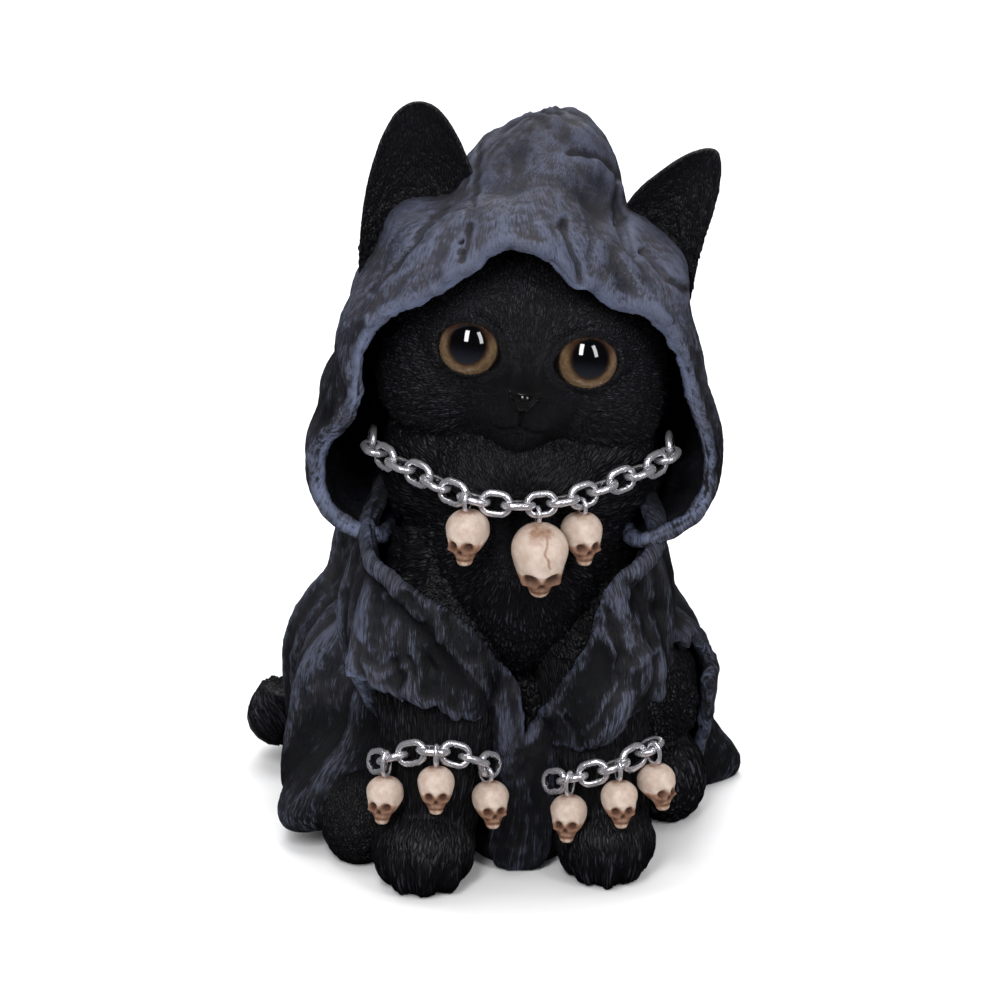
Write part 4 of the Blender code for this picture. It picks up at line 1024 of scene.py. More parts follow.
def front_lift(places, normals, creases):
    """What creases and crests drawn from in front add to the cloth there, and how far each is a cut, which
    the cloth's finish fills with painted shade.
    """
    _, _, nearness = seen(places)
    facing = normals @ np.array((0.0, -math.cos(VIEW_RISE), math.sin(VIEW_RISE)))
    front = smooth_step((facing - 0.02) / 0.3) * smooth_step((nearness + 4) / 8)
    front = front * (0.8 + 0.4 * lumps(places * 0.3, 88))
    wander = 0.7 * drift(places * 0.25, 86)
    lift = np.zeros(len(places))
    cut = np.zeros(len(places))
    for line, width, depth in creases:
        here = bump(from_line(places + wander, line), 0, width) * front
        lift -= depth * here
        cut = np.maximum(cut, here * np.clip(depth, 0, 1))
    return lift, cut


def from_edge(places, edge):
    """How far each place is from the nearest point of the cloth's edges."""
    tree = KDTree(len(edge))
    for k, point in enumerate(edge):
        tree.insert(point, k)
    tree.balance()
    return np.array([tree.find(place)[2] for place in places])


def small_creases(down, places, depth, seed, patch_seed):
    """Small creases along the folds, in patches."""
    return (ridges(down, seed) - 0.4) * depth * smooth_step(lumps(places * 0.05, patch_seed) * 1.5 + 0.2)


def hood_folds(places):
    """Folds that fall from the crown to the front edge, and the small creases on them."""
    down = fan_out(places, CROWN, 4.0, 34.0)
    broad = lumps(down * 0.8, 81) * 0.9
    dents = lumps(places * 0.06, 84) * 0.8
    return broad + dents + small_creases(down * 1.3, places, 0.45, 83, 85)


def hood_streaks(places):
    return fan_out(places + 5 * drift(places * 0.07, 98), CROWN, 85.0, 6.5)


def hood_dust(places):
    """Most of the pale brushing lies on top and in front, least under the corners. The top is also painted
    lighter, a painted highlight of light from above, and the cloth inside the hood is painted in shade.
    """
    inside = way_out(places, places - HOOD_MIDDLE, HOOD_MIDDLE, HOOD_INSIDE) > 0
    # The rise with height is partly a painted highlight of light from above; the drop inside the hood is
    # painted shade.
    return 0.30 + 0.45 * smooth_step((places[:, 2] - 92) / 35) - 0.6 * inside


def hood_tear(places):
    return (from_line(places, ((-7.9, 54.6), (-8.6, 44.0))) < 0.5) & (seen(places)[2] > 20)


def robe_turn(places):
    """Where places lie round the robe's axis, from straight ahead."""
    return np.arctan2(places[:, 0] - ROBE_AXIS[0], ROBE_AXIS[1] - places[:, 1])


def robe_folds(places):
    theta = robe_turn(places)
    down = np.stack([np.sin(theta) * 6, np.cos(theta) * 6, places[:, 2] / 34], 1)
    down = down + 0.5 * lumps(places * 0.05, 90)[:, None]
    broad = lumps(down, 91) * 0.8
    dents = lumps(places * 0.09, 94) * 0.6
    return broad + dents + small_creases(down * 1.6, places, 0.5, 93, 96)


def robe_streaks(places):
    theta = robe_turn(places)
    sway = 1.5 * lumps(places * 0.06, 97)
    height = (places[:, 2] + 6 * sway) / 3.2
    return np.stack([np.sin(theta) * 115 + 4 * sway, np.cos(theta) * 115, height], 1)


def robe_dust(places):
    """The haunches catch more of the brushing than the sleeves, and the hem least; the top of the robe, where
    it goes in under the hood, is painted in shade.
    """
    haunch = spot(places[:, 0], places[:, 2], (-38, 46), (16, 20), 1)
    # Painted shade: the brushing falls away steeply above 74 modules, where the robe goes in under the hood.
    upper = smooth_step(places[:, 2] / 45) - 3.0 * smooth_step((places[:, 2] - 74) / 7)
    return -0.02 + 0.20 * upper + 0.28 * haunch


def sleeve_hole(places):
    return (from_line(places, ((31.0, -30.0), (31.8, -30.8))) < 0.6) & (seen(places)[2] > -10)


def make_cloth(name, cast, edge, looks, grain, cloth):
    folds, creases, streaks, dust = looks
    mesh = fused(name, [cast], grain, 3)
    places = places_of(mesh)
    normals = normals_of(mesh)
    border = from_edge(places, edge)
    lift, _ = front_lift(places, normals, creases)
    lift = lift + folds(places) * smooth_step(border / 6)
    # Cloth is lifted level below the hood's middle, and straight away from it above
    away = places - HOOD_MIDDLE
    away[:, 2] = np.maximum(away[:, 2], 0)
    away /= np.linalg.norm(away, axis=1)[:, None]
    fine = 0.12 * layers(places * 0.5, 95, 3) + 0.05 * layers(places * 1.6, 99, 2)
    ragged = LIP * bump(border, 0.8, 1.4) * (1 + 0.8 * lumps(places * 0.45, 87))
    grounded = smooth_step(places[:, 2] / 6)
    places = places + away * (lift * grounded)[:, None] + normals * ((fine + ragged) * grounded)[:, None]
    move_to(mesh, places)
    floor_at_ground(mesh)
    mesh = simplified(mesh, CLOTH_FACES)
    places = places_of(mesh)
    write(
        mesh,
        raised=np.clip(raised(mesh, 4) / 0.10, -1, 1),
        swell=np.clip(raised(mesh, 30) / 0.8, -1, 1),
        border=from_edge(places, edge),
        cut=front_lift(places, normals_of(mesh), creases)[1],
        dust=dust(places),
        streaks=streaks(places),
    )
    piece(name, mesh, cloth, ["figure"])


def make_cloak(cloth):
    share = np.linspace(0, 1, EDGE_POINTS)
    ends = np.zeros_like(share)
    rim = hood_point(0.06 + 0.88 * share, ends)
    hood = sheet(hood_point, HOOD_STEPS, CLOTH, hood_tear)
    make_cloth("hood", hood, rim, (hood_folds, HOOD_CREASES, hood_streaks, hood_dust), HOOD_GRAIN, cloth)
    sides = [robe_point(ends, share), robe_point(ends + 1, share)]
    edges = np.concatenate([robe_point(share, ends + 1), *sides])
    robe = sheet(robe_point, ROBE_STEPS, CLOTH, sleeve_hole)
    make_cloth("robe", robe, edges, (robe_folds, ROBE_CREASES, robe_streaks, robe_dust), ROBE_GRAIN, cloth)


BASE_INSET = 2.5  # the underside stays this far inside the robe
BASE_RISE = 4.0  # height of the closed underside within the hem


def make_base(resin):
    """The closed underside, a little inside the cloak's hem."""
    theta = np.linspace(-356, -1, 240)
    radius, axis, heading = robe_radius(theta, np.zeros_like(theta))
    outline = axis + heading * (radius - BASE_INSET)[:, None]
    count = len(outline)
    top = outline * (0.94, 0.94, 1.0) + (0, 0, BASE_RISE)
    places = np.concatenate([outline, top, [(0.0, 4.0, 0.0), (0.0, 4.0, BASE_RISE)]])
    faces = []
    for k in range(count):
        after = (k + 1) % count
        faces.append((k, after, count + after, count + k))
        faces.append((after, k, 2 * count, 2 * count))
        faces.append((count + k, count + after, 2 * count + 1, 2 * count + 1))
    mesh = mesh_from("base", places * M, [tuple(dict.fromkeys(face)) for face in faces])
    outward(mesh)
    piece("base", mesh, resin, ["figure"])


# Sockets and nodes


class Value:
    """A socket that takes part in sums."""

    def __init__(self, tree, socket):
        self.tree = tree
        self.socket = socket

    def sum(self, operation, *values):
        return self.tree.node("ShaderNodeMath", {"operation": operation}, dict(enumerate(values)))

    def __add__(self, other):
        return self.sum("ADD", self, other)

    __radd__ = __add__

    def __sub__(self, other):
        return self.sum("SUBTRACT", self, other)

    def __rsub__(self, other):
        return self.sum("SUBTRACT", other, self)

    def __mul__(self, other):
        return self.sum("MULTIPLY", self, other)

    __rmul__ = __mul__

    def root(self):
        return self.sum("POWER", self, 0.5)

    def within(self, low, high):
        return self.sum("MINIMUM", self.sum("MAXIMUM", self, low), high)

    def over(self, low, high):
        """0 below low, 1 above high, with a soft start and end."""
        settings = {"interpolation_type": "SMOOTHSTEP"}
        return self.tree.node("ShaderNodeMapRange", settings, {0: self, 1: low, 2: high})


class Nodes:
    """A tree that grows a node at a time."""

    def __init__(self, tree):
        self.tree = tree

    def fill(self, sockets, inputs):
        """Gives some sockets their links or plain values."""
        for key, value in inputs.items():
            if isinstance(value, Value):
                self.tree.links.new(value.socket, sockets[key])
            else:
                sockets[key].default_value = value

    def node(self, kind, settings=None, inputs=None, output=0):
        made = self.tree.nodes.new(kind)
        for key, value in (settings or {}).items():
            setattr(made, key, value)
        self.fill(made.inputs, inputs or {})
        return Value(self, made.outputs[output])


# Chains, rings and skulls

PATH_STEPS = 120  # places along a chain
TAUT_REACH = 6  # how many of them a hollow has to span before the chain sinks in
SOFT_REACH = 4  # and how many on each side its height is averaged with
LINK_SIZES = ("Link length", "Link width", "Wire")


def body_surface(surface, start, towards):
    """Where a line from inside the body leaves it, in metres."""
    return surface.ray_cast(Vector(start) * M, Vector(towards).normalized())[0]


def chain_path(run, surface, clearance):
    """Even places along a chain that lies on the body, with the way out at each."""
    x, y = run["axis"]
    start, end = run["turns"]
    places = []
    outs = []
    for u in np.arange(PATH_STEPS) / (PATH_STEPS - 1):
        angle = math.radians(start + (end - start) * u)
        out = Vector((math.sin(angle), -math.cos(angle), 0))
        places.append(body_surface(surface, (x, y, float(smooth_curve(u, run["heights"]))), out))
        outs.append(out)
    axes = [Vector((x * M, y * M, place.z)) for place in places]
    reach = np.array([(place - axis).length for place, axis in zip(places, axes)])
    # The chain hangs taut over hollows: take the widest of the neighbours, then soften
    spans = [slice(max(0, i - TAUT_REACH), i + TAUT_REACH + 1) for i in range(PATH_STEPS)]
    widest = np.array([reach[span].max() for span in spans])
    kernel = np.ones(2 * SOFT_REACH + 1) / (2 * SOFT_REACH + 1)
    soft = np.convolve(np.pad(widest, SOFT_REACH, mode="edge"), kernel, mode="valid") + clearance
    return [axis + out * float(far) for axis, out, far in zip(axes, outs, soft)], outs


def link_frames(run, surface):
    """Where each link of a chain lies: its middle, its length and the way across its opening."""
    line, outs = chain_path(run, surface, run["clearance"] * M)
    steps = np.concatenate([[0], np.cumsum([(b - a).length for a, b in zip(line, line[1:])])])
    pitch = LINK_LENGTH - 2 * WIRE + LINK_OVERLAP
    number = int(steps[-1] // pitch)
    spare = (steps[-1] - number * pitch) / 2
    frames = []
    for k in range(number + 1):
        at = spare + k * pitch
        i = min(max(int(np.searchsorted(steps, at)), 1), len(line) - 1)
        share = (at - steps[i - 1]) / (steps[i] - steps[i - 1])
        place = line[i - 1].lerp(line[i], min(max(share, 0), 1))
        length = (line[min(i + 3, len(line) - 1)] - line[max(i - 4, 0)]).normalized()
        out = outs[i - 1]
        out = (out - length * out.dot(length)).normalized()
        lean = math.radians(LINK_LEAN + (90 if k % 2 else 0))
        down = length.cross(out)
        if down.z > 0:
            down = -down
        frames.append((place, length, down * math.cos(lean) + out * math.sin(lean)))
    return frames


def link_tree(finish):
    """Lays one oval link on each point, turned and drawn out by the point's own attributes."""
    group = bpy.data.node_groups.new("links", "GeometryNodeTree")
    face = group.interface
    face.new_socket("Geometry", in_out="INPUT", socket_type="NodeSocketGeometry")
    for name in LINK_SIZES:
        face.new_socket(name, in_out="INPUT", socket_type="NodeSocketFloat")
    face.new_socket("Geometry", in_out="OUTPUT", socket_type="NodeSocketGeometry")
    start = group.nodes.new("NodeGroupInput")
    end = group.nodes.new("NodeGroupOutput")
    tree = Nodes(group)
    spots = Value(tree, start.outputs["Geometry"])
    length, width, wire = (Value(tree, start.outputs[name]) for name in LINK_SIZES)

    def circle(resolution, radius):
        inputs = {"Resolution": resolution, "Radius": radius}
        return tree.node("GeometryNodeCurvePrimitiveCircle", None, inputs)

    def own(name):
        return tree.node("GeometryNodeInputNamedAttribute", {"data_type": "FLOAT_VECTOR"}, {"Name": name})

    x = tree.node("ShaderNodeSeparateXYZ", None, {0: tree.node("GeometryNodeInputPosition")})
    shift = tree.node("ShaderNodeCombineXYZ", None, {0: (length - width) * 0.5 * (x * 1e5).within(-1.0, 1.0)})
    ring = circle(28, (width - wire) * 0.5)
    oval = tree.node("GeometryNodeSetPosition", None, {"Geometry": ring, "Offset": shift})
    profile = circle(10, wire * 0.5)
    link = tree.node("GeometryNodeCurveToMesh", None, {"Curve": oval, "Profile Curve": profile})
    way = tree.node("FunctionNodeEulerToRotation", None, {0: own("turn")})
    lay = {"Points": spots, "Instance": link, "Rotation": way, "Scale": own("stretch")}
    laid = tree.node("GeometryNodeInstanceOnPoints", None, lay)
    real = tree.node("GeometryNodeRealizeInstances", None, {"Geometry": laid})
    dressed = tree.node("GeometryNodeSetMaterial", None, {"Geometry": real, "Material": finish})
    group.links.new(dressed.socket, end.inputs[0])
    return group


def make_links(name, tree, spots, sizes, finish, stands_for):
    """A run of links or rings, each from its middle, the ways along and across it, and its stretch."""
    mesh = bpy.data.meshes.new(name)
    mesh.from_pydata([tuple(middle) for middle, _, _, _ in spots], [], [])
    ways = [Matrix((length, across, length.cross(across))).transposed() for _, length, across, _ in spots]
    stretch = np.array([(drawn, 1.0, 1.0) for _, _, _, drawn in spots])
    write(mesh, turn=np.array([tuple(way.to_euler()) for way in ways]), stretch=stretch)
    obj = object_from(name, mesh)
    lay = obj.modifiers.new("links", "NODES")
    lay.node_group = tree
    sockets = {item.name: item.identifier for item in tree.interface.items_tree if item.in_out == "INPUT"}
    for label, size in zip(LINK_SIZES, sizes):
        lay[sockets[label]] = size
    made = consumed(obj)
    outward(made)
    # The black wash stays on the inside of each link
    places = places_of(made)
    per_link = len(places) // len(spots)
    middles = np.repeat(np.array([tuple(middle / M) for middle, _, _, _ in spots]), per_link, axis=0)
    away = places - middles
    away /= np.linalg.norm(away, axis=1)[:, None]
    facing_in = -(away * normals_of(made)).sum(1)
    write(made, recess=smooth_step((facing_in + 0.25) / 0.9))
    worn = layers(places * 1.3, 101, 3)
    move_to(made, places + normals_of(made) * (0.05 * worn)[:, None])
    piece(name, made, finish, stands_for)


# Height and reach of a skull from its crown to its jaw, against the angle from straight up
SKULL_PROFILE = (
    (0, 0.98, 0.0), (25, 0.90, 0.50), (50, 0.62, 0.84), (75, 0.26, 0.99), (95, -0.08, 1.0),
    (112, -0.36, 0.93), (124, -0.60, 0.82), (135, -0.80, 0.69), (147, -1.0, 0.52), (160, -1.26, 0.40),
    (170, -1.46, 0.32), (176, -1.55, 0.20), (180, -1.57, 0.0),
)


def skull_places(directions):
    """A small skull with its face towards -Y and its crown up, 2 wide, and how stained each place is."""
    angle = np.degrees(np.arccos(np.clip(directions[:, 2], -1, 1)))
    turn = np.arctan2(directions[:, 0], -directions[:, 1])
    z = smooth_curve(angle, [(row[0], row[1]) for row in SKULL_PROFILE])
    reach = smooth_curve(angle, [(row[0], row[2]) for row in SKULL_PROFILE])
    low = smooth_step((-z - 0.15) / 0.8)
    x = np.sin(turn) * reach
    y = -np.cos(turn) * reach * (1.10 - 0.05 * low) + 0.06 - 0.34 * low
    front = smooth_step((np.cos(turn) - 0.1) / 0.5)

    def pit(at_x, at_z, wide, tall):
        return spot(abs(x), z, (at_x, at_z), (wide, tall), 0.85) * front

    sockets = pit(0.37, -0.50, 0.27, 0.25)
    nose = spot(x, z, (0, -0.83), (0.13, 0.16), 0.9) * front
    cheeks = pit(0.58, -0.74, 0.16, 0.12)
    brow = spot(x, z, (0, -0.22), (0.6, 0.13), 0.9) * front
    temples = spot(z, abs(np.degrees(turn)), (-0.25, 75), (0.3, 22), 0.9)
    hollow_cheeks = pit(0.40, -1.02, 0.14, 0.16)
    teeth = smooth_step((-1.08 - z) / 0.05) * smooth_step((z + 1.40) / 0.08) * front
    between = ((x / 0.11 + 0.5) % 1) - 0.5
    gaps = teeth * (bump(between, 0.5, 0.14) + bump(between, -0.5, 0.14))
    bite = bump(z, -1.23, 0.035) * front
    depth = -0.42 * sockets - 0.26 * nose + 0.13 * cheeks + 0.07 * brow
    depth = depth - 0.09 * temples - 0.10 * hollow_cheeks - 0.035 * gaps - 0.05 * bite
    x = x * (1 + 0.9 * (cheeks * 0.13 - temples * 0.09))
    y = y - depth * front
    stain = sockets * 1.25 + nose * 1.2 + bite * 0.7 + 0.35 * gaps + 0.4 * hollow_cheeks
    stain = np.clip(stain, 0, 1)
    wash = smooth_step((-z - 0.22) / 0.40) * (1 - 0.5 * smooth_step((-z - 1.25) / 0.15)) * 0.72
    crown = 0.62 * bump(angle, 0, 28)
    return np.stack([x, y, z], 1), np.clip(stain + (1 - stain) * np.maximum(wash, crown), 0, 1)


def from_crack(places):
    """How far each place is from the crack that runs down the forehead of the largest skull."""
    x, y, z = places.T
    line = 0.16 + 0.07 * np.sin(7 * z) + 0.03 * np.sin(17 * z)
    return abs(x - line) + np.maximum(0.12 - z, 0) + np.maximum(y + 0.2, 0)


def tree_of(mesh):
    return BVHTree.FromPolygons([v.co for v in mesh.vertices], [tuple(p.vertices) for p in mesh.polygons])


def room_behind(mesh, surface, push):
    """How far a piece can move along a direction before it meets the body."""
    travel = [surface.ray_cast(vertex.co - push * FAR, push)[3] for vertex in mesh.vertices]
    return min(reach for reach in travel if reach is not None) - FAR


def held_links(hangs, frames):
    """The link that each skull of a chain hangs from: near its own place, with room between neighbours."""

    def cost(chosen):
        away = sum(abs(frame[0].x - hang[0] * M) for frame, hang in zip(chosen, hangs))
        crowded = 0
        for k in range(len(hangs) - 1):
            room = SKULL_ROOM * (hangs[k][1] + hangs[k + 1][1]) / 2
            crowded += max(room - (chosen[k][0] - chosen[k + 1][0]).length, 0)
        return away + CROWDING_COST * crowded

    return min(itertools.product(frames, repeat=len(hangs)), key=cost)


def hung_skull(hang, link, links, surface):
    """A skull laid on the fur below its chain, and the spot of its ring round a link."""
    x, width, turn, tip = hang
    place, length, across = link
    bar = place + across * (LINK_WIDTH - WIRE) / 2
    slide = min(max((x * M - bar.x) / max(abs(length.x), 0.3), -RING_SLIDE), RING_SLIDE)
    hub = bar + length * math.copysign(1, length.x) * slide
    up = Vector((0, 0, 1))
    sideways = Vector((length.x, length.y, 0)).normalized()
    inwards = up.cross(sideways)
    if inwards.y < 0:
        inwards = -inwards
    directions, faces = ball_directions(26, 0.22)
    places, stain = skull_places(directions)
    mesh = outward(mesh_from("skull", places * width / 2, faces))
    crack = from_crack(places) if width == BIG_SKULL_WIDTH else np.ones(len(places))
    write(mesh, stain=stain, own=places, crack=crack)
    mesh.transform(Matrix.Rotation(math.radians(tip), 4, "X"))
    mesh.transform(Matrix.Rotation(math.radians(turn), 4, "Z"))
    crown = max(vertex.co.z for vertex in mesh.vertices)
    foot = hub.z - RING_RADIUS
    mesh.transform(Matrix.Translation((hub.x, hub.y, foot - crown)))
    for _ in range(3):
        room = room_behind(mesh, surface, inwards) - REST_GAP * 2
        mesh.transform(Matrix.Translation(inwards * min(room, 0)))
        tree = tree_of(mesh)
        drop = 0
        for vertex in links.vertices:
            met = tree.ray_cast(vertex.co + up * FAR, -up)[0]
            if met is not None:
                drop = max(drop, met.z + REST_GAP - vertex.co.z)
        mesh.transform(Matrix.Translation(-up * drop))
    top = tree_of(mesh).ray_cast(hub + up * FAR, -up)[0]
    reach = max(foot - top.z, 0)
    ring_size = 2 * RING_RADIUS + RING_WIRE
    return mesh, (hub - up * reach / 2, -up, sideways.cross(-up), (ring_size + reach) / ring_size)


def make_chains(silver, bone):
    figure = frame["nodes"]["figure"]
    surface = tree_of(figure.data)
    tree = link_tree(silver)
    ring_size = 2 * RING_RADIUS + RING_WIRE
    for name, run in CHAINS.items():
        frames = link_frames(run, surface)
        spots = [(place, length, across, 1.0) for place, length, across in frames]
        link_name = name.replace("chain", "links")
        make_links(link_name, tree, spots, (LINK_LENGTH, LINK_WIDTH, WIRE), silver, [name])
        links = frame["nodes"][name].data
        hangs = {skull: row[1:] for skull, row in SKULLS.items() if row[0] == name}
        rings = []
        for (skull, hang), link in zip(hangs.items(), held_links(list(hangs.values()), frames)):
            mesh, ring = hung_skull(hang, link, links, surface)
            piece(skull + "_bone", mesh, bone, [skull])
            rings.append(ring)
        ring_name = name.replace("chain", "rings")
        make_links(ring_name, tree, rings, (ring_size, ring_size, RING_WIRE), silver, list(hangs))


# Finishes


class Finish(Nodes):
    """A material, made a node at a time."""

    def __init__(self, name, roughness, metallic=0.0):
        self.material = bpy.data.materials.new(name)
        self.material.use_nodes = True
        super().__init__(self.material.node_tree)
        self.shader = self.tree.nodes["Principled BSDF"]
        self.feeds(Roughness=roughness, Metallic=metallic)

    def feeds(self, **inputs):
        """Gives the surface its links or plain values."""
        self.fill(self.shader.inputs, {name.replace("_", " "): value for name, value in inputs.items()})

    def number(self, name):
        return self.node("ShaderNodeAttribute", {"attribute_name": name}, output=2)

    def vector(self, name):
        return self.node("ShaderNodeAttribute", {"attribute_name": name}, output=1)

    def place(self):
        return self.node("ShaderNodeTexCoord", output=3)

    def stretched(self, vector, scale):
        return self.node("ShaderNodeVectorMath", {"operation": "MULTIPLY"}, {0: vector, 1: scale})

    def noise(self, vector, scale, detail=3.0, roughness=0.5):
        inputs = {"Vector": vector, "Scale": scale, "Detail": detail, "Roughness": roughness}
        return self.node("ShaderNodeTexNoise", None, inputs)

    def borders(self, vector, scale):
        settings = {"feature": "DISTANCE_TO_EDGE"}
        return self.node("ShaderNodeTexVoronoi", settings, {"Vector": vector, "Scale": scale})

    def mix(self, share, one, other):
        return self.node("ShaderNodeMix", {"data_type": "RGBA"}, {0: share, 6: one, 7: other}, 2)

    def relief(self, height, distance, strength=1.0):
        inputs = {"Strength": strength, "Distance": distance, "Height": height}
        return self.node("ShaderNodeBump", None, inputs)


def colour(red, green, blue):
    """A colour from its display values, 0 to 255."""
    shares = [value / 255 for value in (red, green, blue)]
    return (*(((c + 0.055) / 1.055) ** 2.4 if c > 0.0393 else c / 12.92 for c in shares), 1)


def fur_finish():
    """Black carved fur with a faint dry brush of blue-grey on its strands."""
    fur = Finish("black_fur", 0.5)
    strands = fur.vector("strands")
    tuft = fur.number("tuft")
    bare = fur.number("bare")
    furrow = fur.borders(strands, 1.0).over(0.0, 0.30)
    hair = fur.noise(fur.stretched(strands, (2.4, 2.4, 2.4)), 1.0, 2.0)
    patches = fur.noise(fur.place(), 60.0, 2.0)
    height = furrow * 0.8 + hair * 0.7
    brushed = (furrow * hair * 1.5 + tuft * 0.22 + patches * 0.6 - 0.45).over(0.25, 1.05)
    grey = fur.number("greying")
    # How much brushing shows also carries painted shade on the top of the chest and shoulders and painted
    # light in the hollow beside the right haunch.
    brushed = brushed * (0.6 + grey * 0.9)
    tone = fur.mix(brushed, colour(10, 10, 14), colour(56, 56, 68))
    nose = bare.over(0.6, 1.0)
    tone = fur.mix(nose, tone, colour(8, 8, 10))
    fur.feeds(
        Base_Color=tone,
        Roughness=0.50 - nose * 0.36,
        Coat_Weight=nose,
        Coat_Roughness=0.12,
        Specular_IOR_Level=0.32,
        Normal=fur.relief(height * (1 - bare * 0.85) + hair * nose * 0.5, 0.00030),
    )
    return fur.material


def cloth_finish():
    """Worn near-black cloth, dry-brushed blue-grey in fine strokes and along its edges."""
    cloth = Finish("dusty_cloak", 0.6)
    streaks = cloth.vector("streaks")
    edge = cloth.number("raised")
    swell = cloth.number("swell")
    border = cloth.number("border")
    cut = cloth.number("cut")
    # How much brushing shows, with painted shade inside and under the hood and a painted highlight on the
    # hood's top.
    dust = cloth.number("dust")
    scratch = cloth.noise(streaks, 1.0, 4.0, 0.65)
    fine = cloth.noise(cloth.stretched(streaks, (2.6, 2.6, 1.2)), 1.0, 3.0, 0.6)
    patches = cloth.noise(cloth.place(), 45.0, 4.0, 0.6)
    clouds = cloth.noise(cloth.place(), 140.0, 3.0, 0.6)
    grain = cloth.noise(cloth.place(), 900.0, 3.0, 0.6)
    brush = (scratch - 0.5) * 1.6 + (fine - 0.5) * 1.4
    uneven = patches - 0.5
    soft = (dust + uneven * 1.3 + (clouds - 0.5) * 0.8 + brush * 0.30 + swell * 0.22 - 0.05).over(0.0, 0.95)
    stroke = (brush * 1.0 + dust * 0.60 + uneven * 1.0 + edge * 0.28 + swell * 0.16 - 0.32).over(0.0, 0.75)
    lip = (border + (clouds - 0.5) * 2.6).over(0.2, 1.5)
    lip = (1 - lip) * (dust * 1.0 + brush * 0.9 + edge * 0.45 + uneven * 1.6 + 0.05).over(0.1, 0.9)
    dark = colour(13, 14, 19)
    middle = cloth.mix(clouds.over(0.40, 0.62), colour(47, 49, 61), colour(49, 47, 53))
    tone = cloth.mix(soft, dark, middle)
    tone = cloth.mix(stroke * 0.8, tone, colour(80, 86, 107))
    tone = cloth.mix(lip * 0.85, tone, colour(92, 100, 125))
    # Painted shade in the cut creases.
    tone = cloth.mix(cut.over(0.35, 1.2) * 0.7, tone, colour(10, 10, 14))
    cloth.feeds(
        Base_Color=tone,
        Roughness=0.62 - stroke * 0.10,
        Specular_IOR_Level=0.28,
        Normal=cloth.relief(scratch * 0.9 + fine * 0.6 + grain * 0.2 + patches * 0.5, 0.00032),
    )
    return cloth.material


def eye_finish():
    """A wide black pupil in an amber ring that shows most below, under clear gloss; the top of the eye is
    painted in the lid's shadow.
    """
    eye = Finish("amber_eye", 0.06)
    gaze = eye.node("ShaderNodeSeparateXYZ", None, {0: eye.vector("gaze")})
    up = eye.node("ShaderNodeSeparateXYZ", None, {0: eye.vector("gaze")}, 2)
    out = (gaze * gaze + up * up).root()
    higher = up - 0.17
    pupil = (gaze * gaze * 1.12 + higher * higher).root()
    fleck = eye.noise(eye.stretched(eye.vector("gaze"), (9.0, 9.0, 9.0)), 1.0, 3.0)
    amber = eye.mix(fleck.over(0.35, 0.7), colour(84, 66, 48), colour(102, 84, 64))
    # Painted shade: the pupil is darkest at the top, in the lid's shadow, and greyer below.
    dark = eye.mix((0.10 - up).over(-0.1, 0.5), colour(6, 6, 8), colour(26, 28, 34))
    tone = eye.mix((pupil + (fleck - 0.5) * 0.03).over(0.50, 0.64), dark, colour(48, 32, 22))
    # A painted shadow of the lid hides the top of the amber ring.
    tone = eye.mix(pupil.over(0.56, 0.74) * (0.60 - up).over(0.0, 0.45), tone, amber)
    tone = eye.mix(out.over(0.79, 0.86), tone, colour(20, 15, 12))
    eye.feeds(Base_Color=tone, Coat_Weight=1.0, Coat_Roughness=0.02)
    return eye.material


def silver_finish():
    """Bright worn silver over a black wash that stays in the recesses."""
    silver = Finish("worn_silver", 0.3, 0.9)
    recess = silver.number("recess")
    worn = silver.noise(silver.place(), 1300.0, 3.0, 0.6)
    black = (recess * 0.9 + (worn - 0.5) * 1.8).over(0.34, 0.74)
    tone = silver.mix(black, colour(228, 226, 233), colour(18, 17, 20))
    silver.feeds(
        Base_Color=tone,
        Roughness=0.26 + black * 0.3,
        Metallic=0.82 - black * 0.6,
        Normal=silver.relief(worn, 0.00012),
    )
    return silver.material


def bone_finish():
    """Cream bone with a brown wash in its hollows."""
    bone = Finish("washed_bone", 0.42)
    stain = bone.number("stain")
    own = bone.vector("own")
    mottle = bone.noise(own, 2.2, 4.0, 0.6)
    pits = bone.noise(own, 9.0, 3.0, 0.6)
    brown = (stain * 1.15 + (mottle - 0.5) * 0.9 + (pits - 0.5) * 0.3).over(0.18, 0.85)
    deep = (stain + (mottle - 0.5) * 0.4).over(0.62, 1.0)
    crack = 1 - (bone.number("crack") + (pits - 0.5) * 0.10).over(0.01, 0.07)
    tone = bone.mix(mottle.over(0.3, 0.7), colour(184, 168, 157), colour(166, 146, 132))
    tone = bone.mix(brown, tone, colour(128, 92, 70))
    tone = bone.mix(crack * 0.75, tone, colour(120, 82, 60))
    tone = bone.mix(deep, tone, colour(72, 42, 29))
    bone.feeds(Base_Color=tone, Roughness=0.40 + brown * 0.2, Normal=bone.relief(pits + mottle, 0.00010, 0.7))
    return bone.material


def resin_finish():
    """The bare dark underside of the casting."""
    resin = Finish("cast_underside", 0.7)
    mottle = resin.noise(resin.place(), 120.0, 4.0, 0.6)
    grain = resin.noise(resin.place(), 1500.0, 2.0)
    tone = resin.mix(mottle.over(0.3, 0.7), colour(26, 25, 30), colour(40, 39, 46))
    resin.feeds(Base_Color=tone, Normal=resin.relief(grain + mottle, 0.00012, 0.6))
    return resin.material


# Floor, light and camera


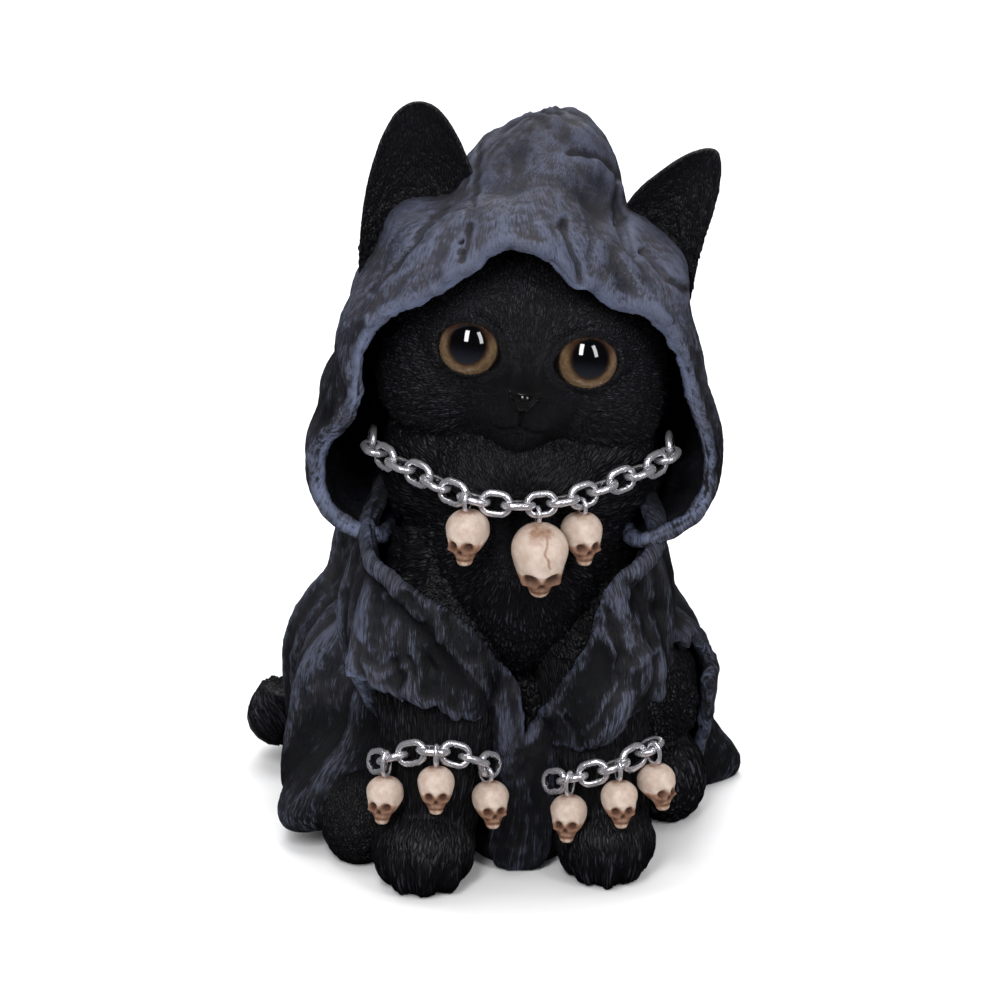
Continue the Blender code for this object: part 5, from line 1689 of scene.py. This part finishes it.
def make_studio():
    bpy.ops.mesh.primitive_plane_add(size=8.0, location=(0, 0, -0.0002))
    floor = bpy.context.object
    floor.name = "floor"
    white = Finish("pale_floor", 0.9)
    white.feeds(Base_Color=(0.86, 0.86, 0.87, 1))
    floor.data.materials.append(white.material)
    world = bpy.data.worlds.new("studio")
    bpy.context.scene.world = world
    world.use_nodes = True
    sky = world.node_tree.nodes["Background"]
    sky.inputs["Color"].default_value = (1, 1, 1, 1)
    sky.inputs["Strength"].default_value = 0.75
    # The even white room lights the cat but isn't mirrored in its gloss: only the lamps are
    world.cycles_visibility.glossy = False
    floor.visible_glossy = False
    lamps = (
        ("key", (-0.22, -0.80, 0.80), (0.24, 0.70), 7.0),
        ("fill", (0.52, -0.68, 0.62), (0.20, 0.65), 3.0),
        ("top", (-0.05, 0.15, 0.95), (0.6, 0.5), 5.0),
        ("back", (0.0, 0.9, 0.6), (0.6, 0.5), 3.0),
    )
    aim = Vector((0, 0, 0.09))
    for name, place, size, power in lamps:
        lamp = bpy.data.lights.new(name, "AREA")
        lamp.shape = "RECTANGLE"
        lamp.size, lamp.size_y = size
        lamp.energy = power
        obj = bpy.data.objects.new(name, lamp)
        obj.location = place
        obj.rotation_euler = (aim - Vector(place)).to_track_quat("-Z", "Y").to_euler()
        bpy.context.scene.collection.objects.link(obj)


CAMERA_AIM = Vector((0.0, 0.0, 0.070))
CAMERA_DISTANCE = 1.0
CAMERA_LENS = 171.36  # millimetres


def make_camera():
    view = bpy.data.cameras.new("camera")
    view.lens = CAMERA_LENS
    view.clip_start = 0.01
    obj = bpy.data.objects.new("camera", view)
    back = Vector((0, -math.cos(VIEW_RISE), math.sin(VIEW_RISE)))
    obj.location = CAMERA_AIM + back * CAMERA_DISTANCE
    obj.rotation_euler = (-back).to_track_quat("-Z", "Y").to_euler()
    bpy.context.scene.collection.objects.link(obj)
    bpy.context.scene.camera = obj


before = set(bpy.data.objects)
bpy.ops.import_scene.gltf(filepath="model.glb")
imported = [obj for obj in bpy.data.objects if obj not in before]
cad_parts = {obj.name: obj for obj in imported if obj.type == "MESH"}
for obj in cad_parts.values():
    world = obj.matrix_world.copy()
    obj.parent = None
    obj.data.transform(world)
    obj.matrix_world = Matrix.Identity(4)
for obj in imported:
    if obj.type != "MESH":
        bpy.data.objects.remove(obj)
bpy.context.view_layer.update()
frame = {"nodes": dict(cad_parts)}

make_camera()
fur = fur_finish()
cloth = cloth_finish()
amber = eye_finish()
make_head(fur)
make_eye(-1, "left_eyeball", "eye_left", amber)
make_eye(1, "right_eyeball", "eye_right", amber)
make_ear("ear_left", LEFT_EAR, 31, fur)
make_ear("ear_right", RIGHT_EAR, 32, fur)
make_chest(fur)
make_foreleg("foreleg_left", LEFT_FORELEG, LEFT_FOREPAW, 51, fur)
make_foreleg("foreleg_right", RIGHT_FORELEG, RIGHT_FOREPAW, 52, fur)
make_hind("hind_paw_left", [LEFT_HIND_PAW], (-29.0, -14.0, 19.0), 62, fur, 0.45)
# The fur in the deep opening beside the right haunch is painted lighter, painted light where little light
# reaches it.
make_hind("hind_leg_right", RIGHT_HIND_FORMS, (24.0, 8.0, 50.0), 64, fur, 0.56, 0.45, 0.6)
make_tail(fur)
make_cloak(cloth)
make_base(resin_finish())
make_chains(silver_finish(), bone_finish())
make_studio()

bpy.context.scene.view_settings.view_transform = "Standard"
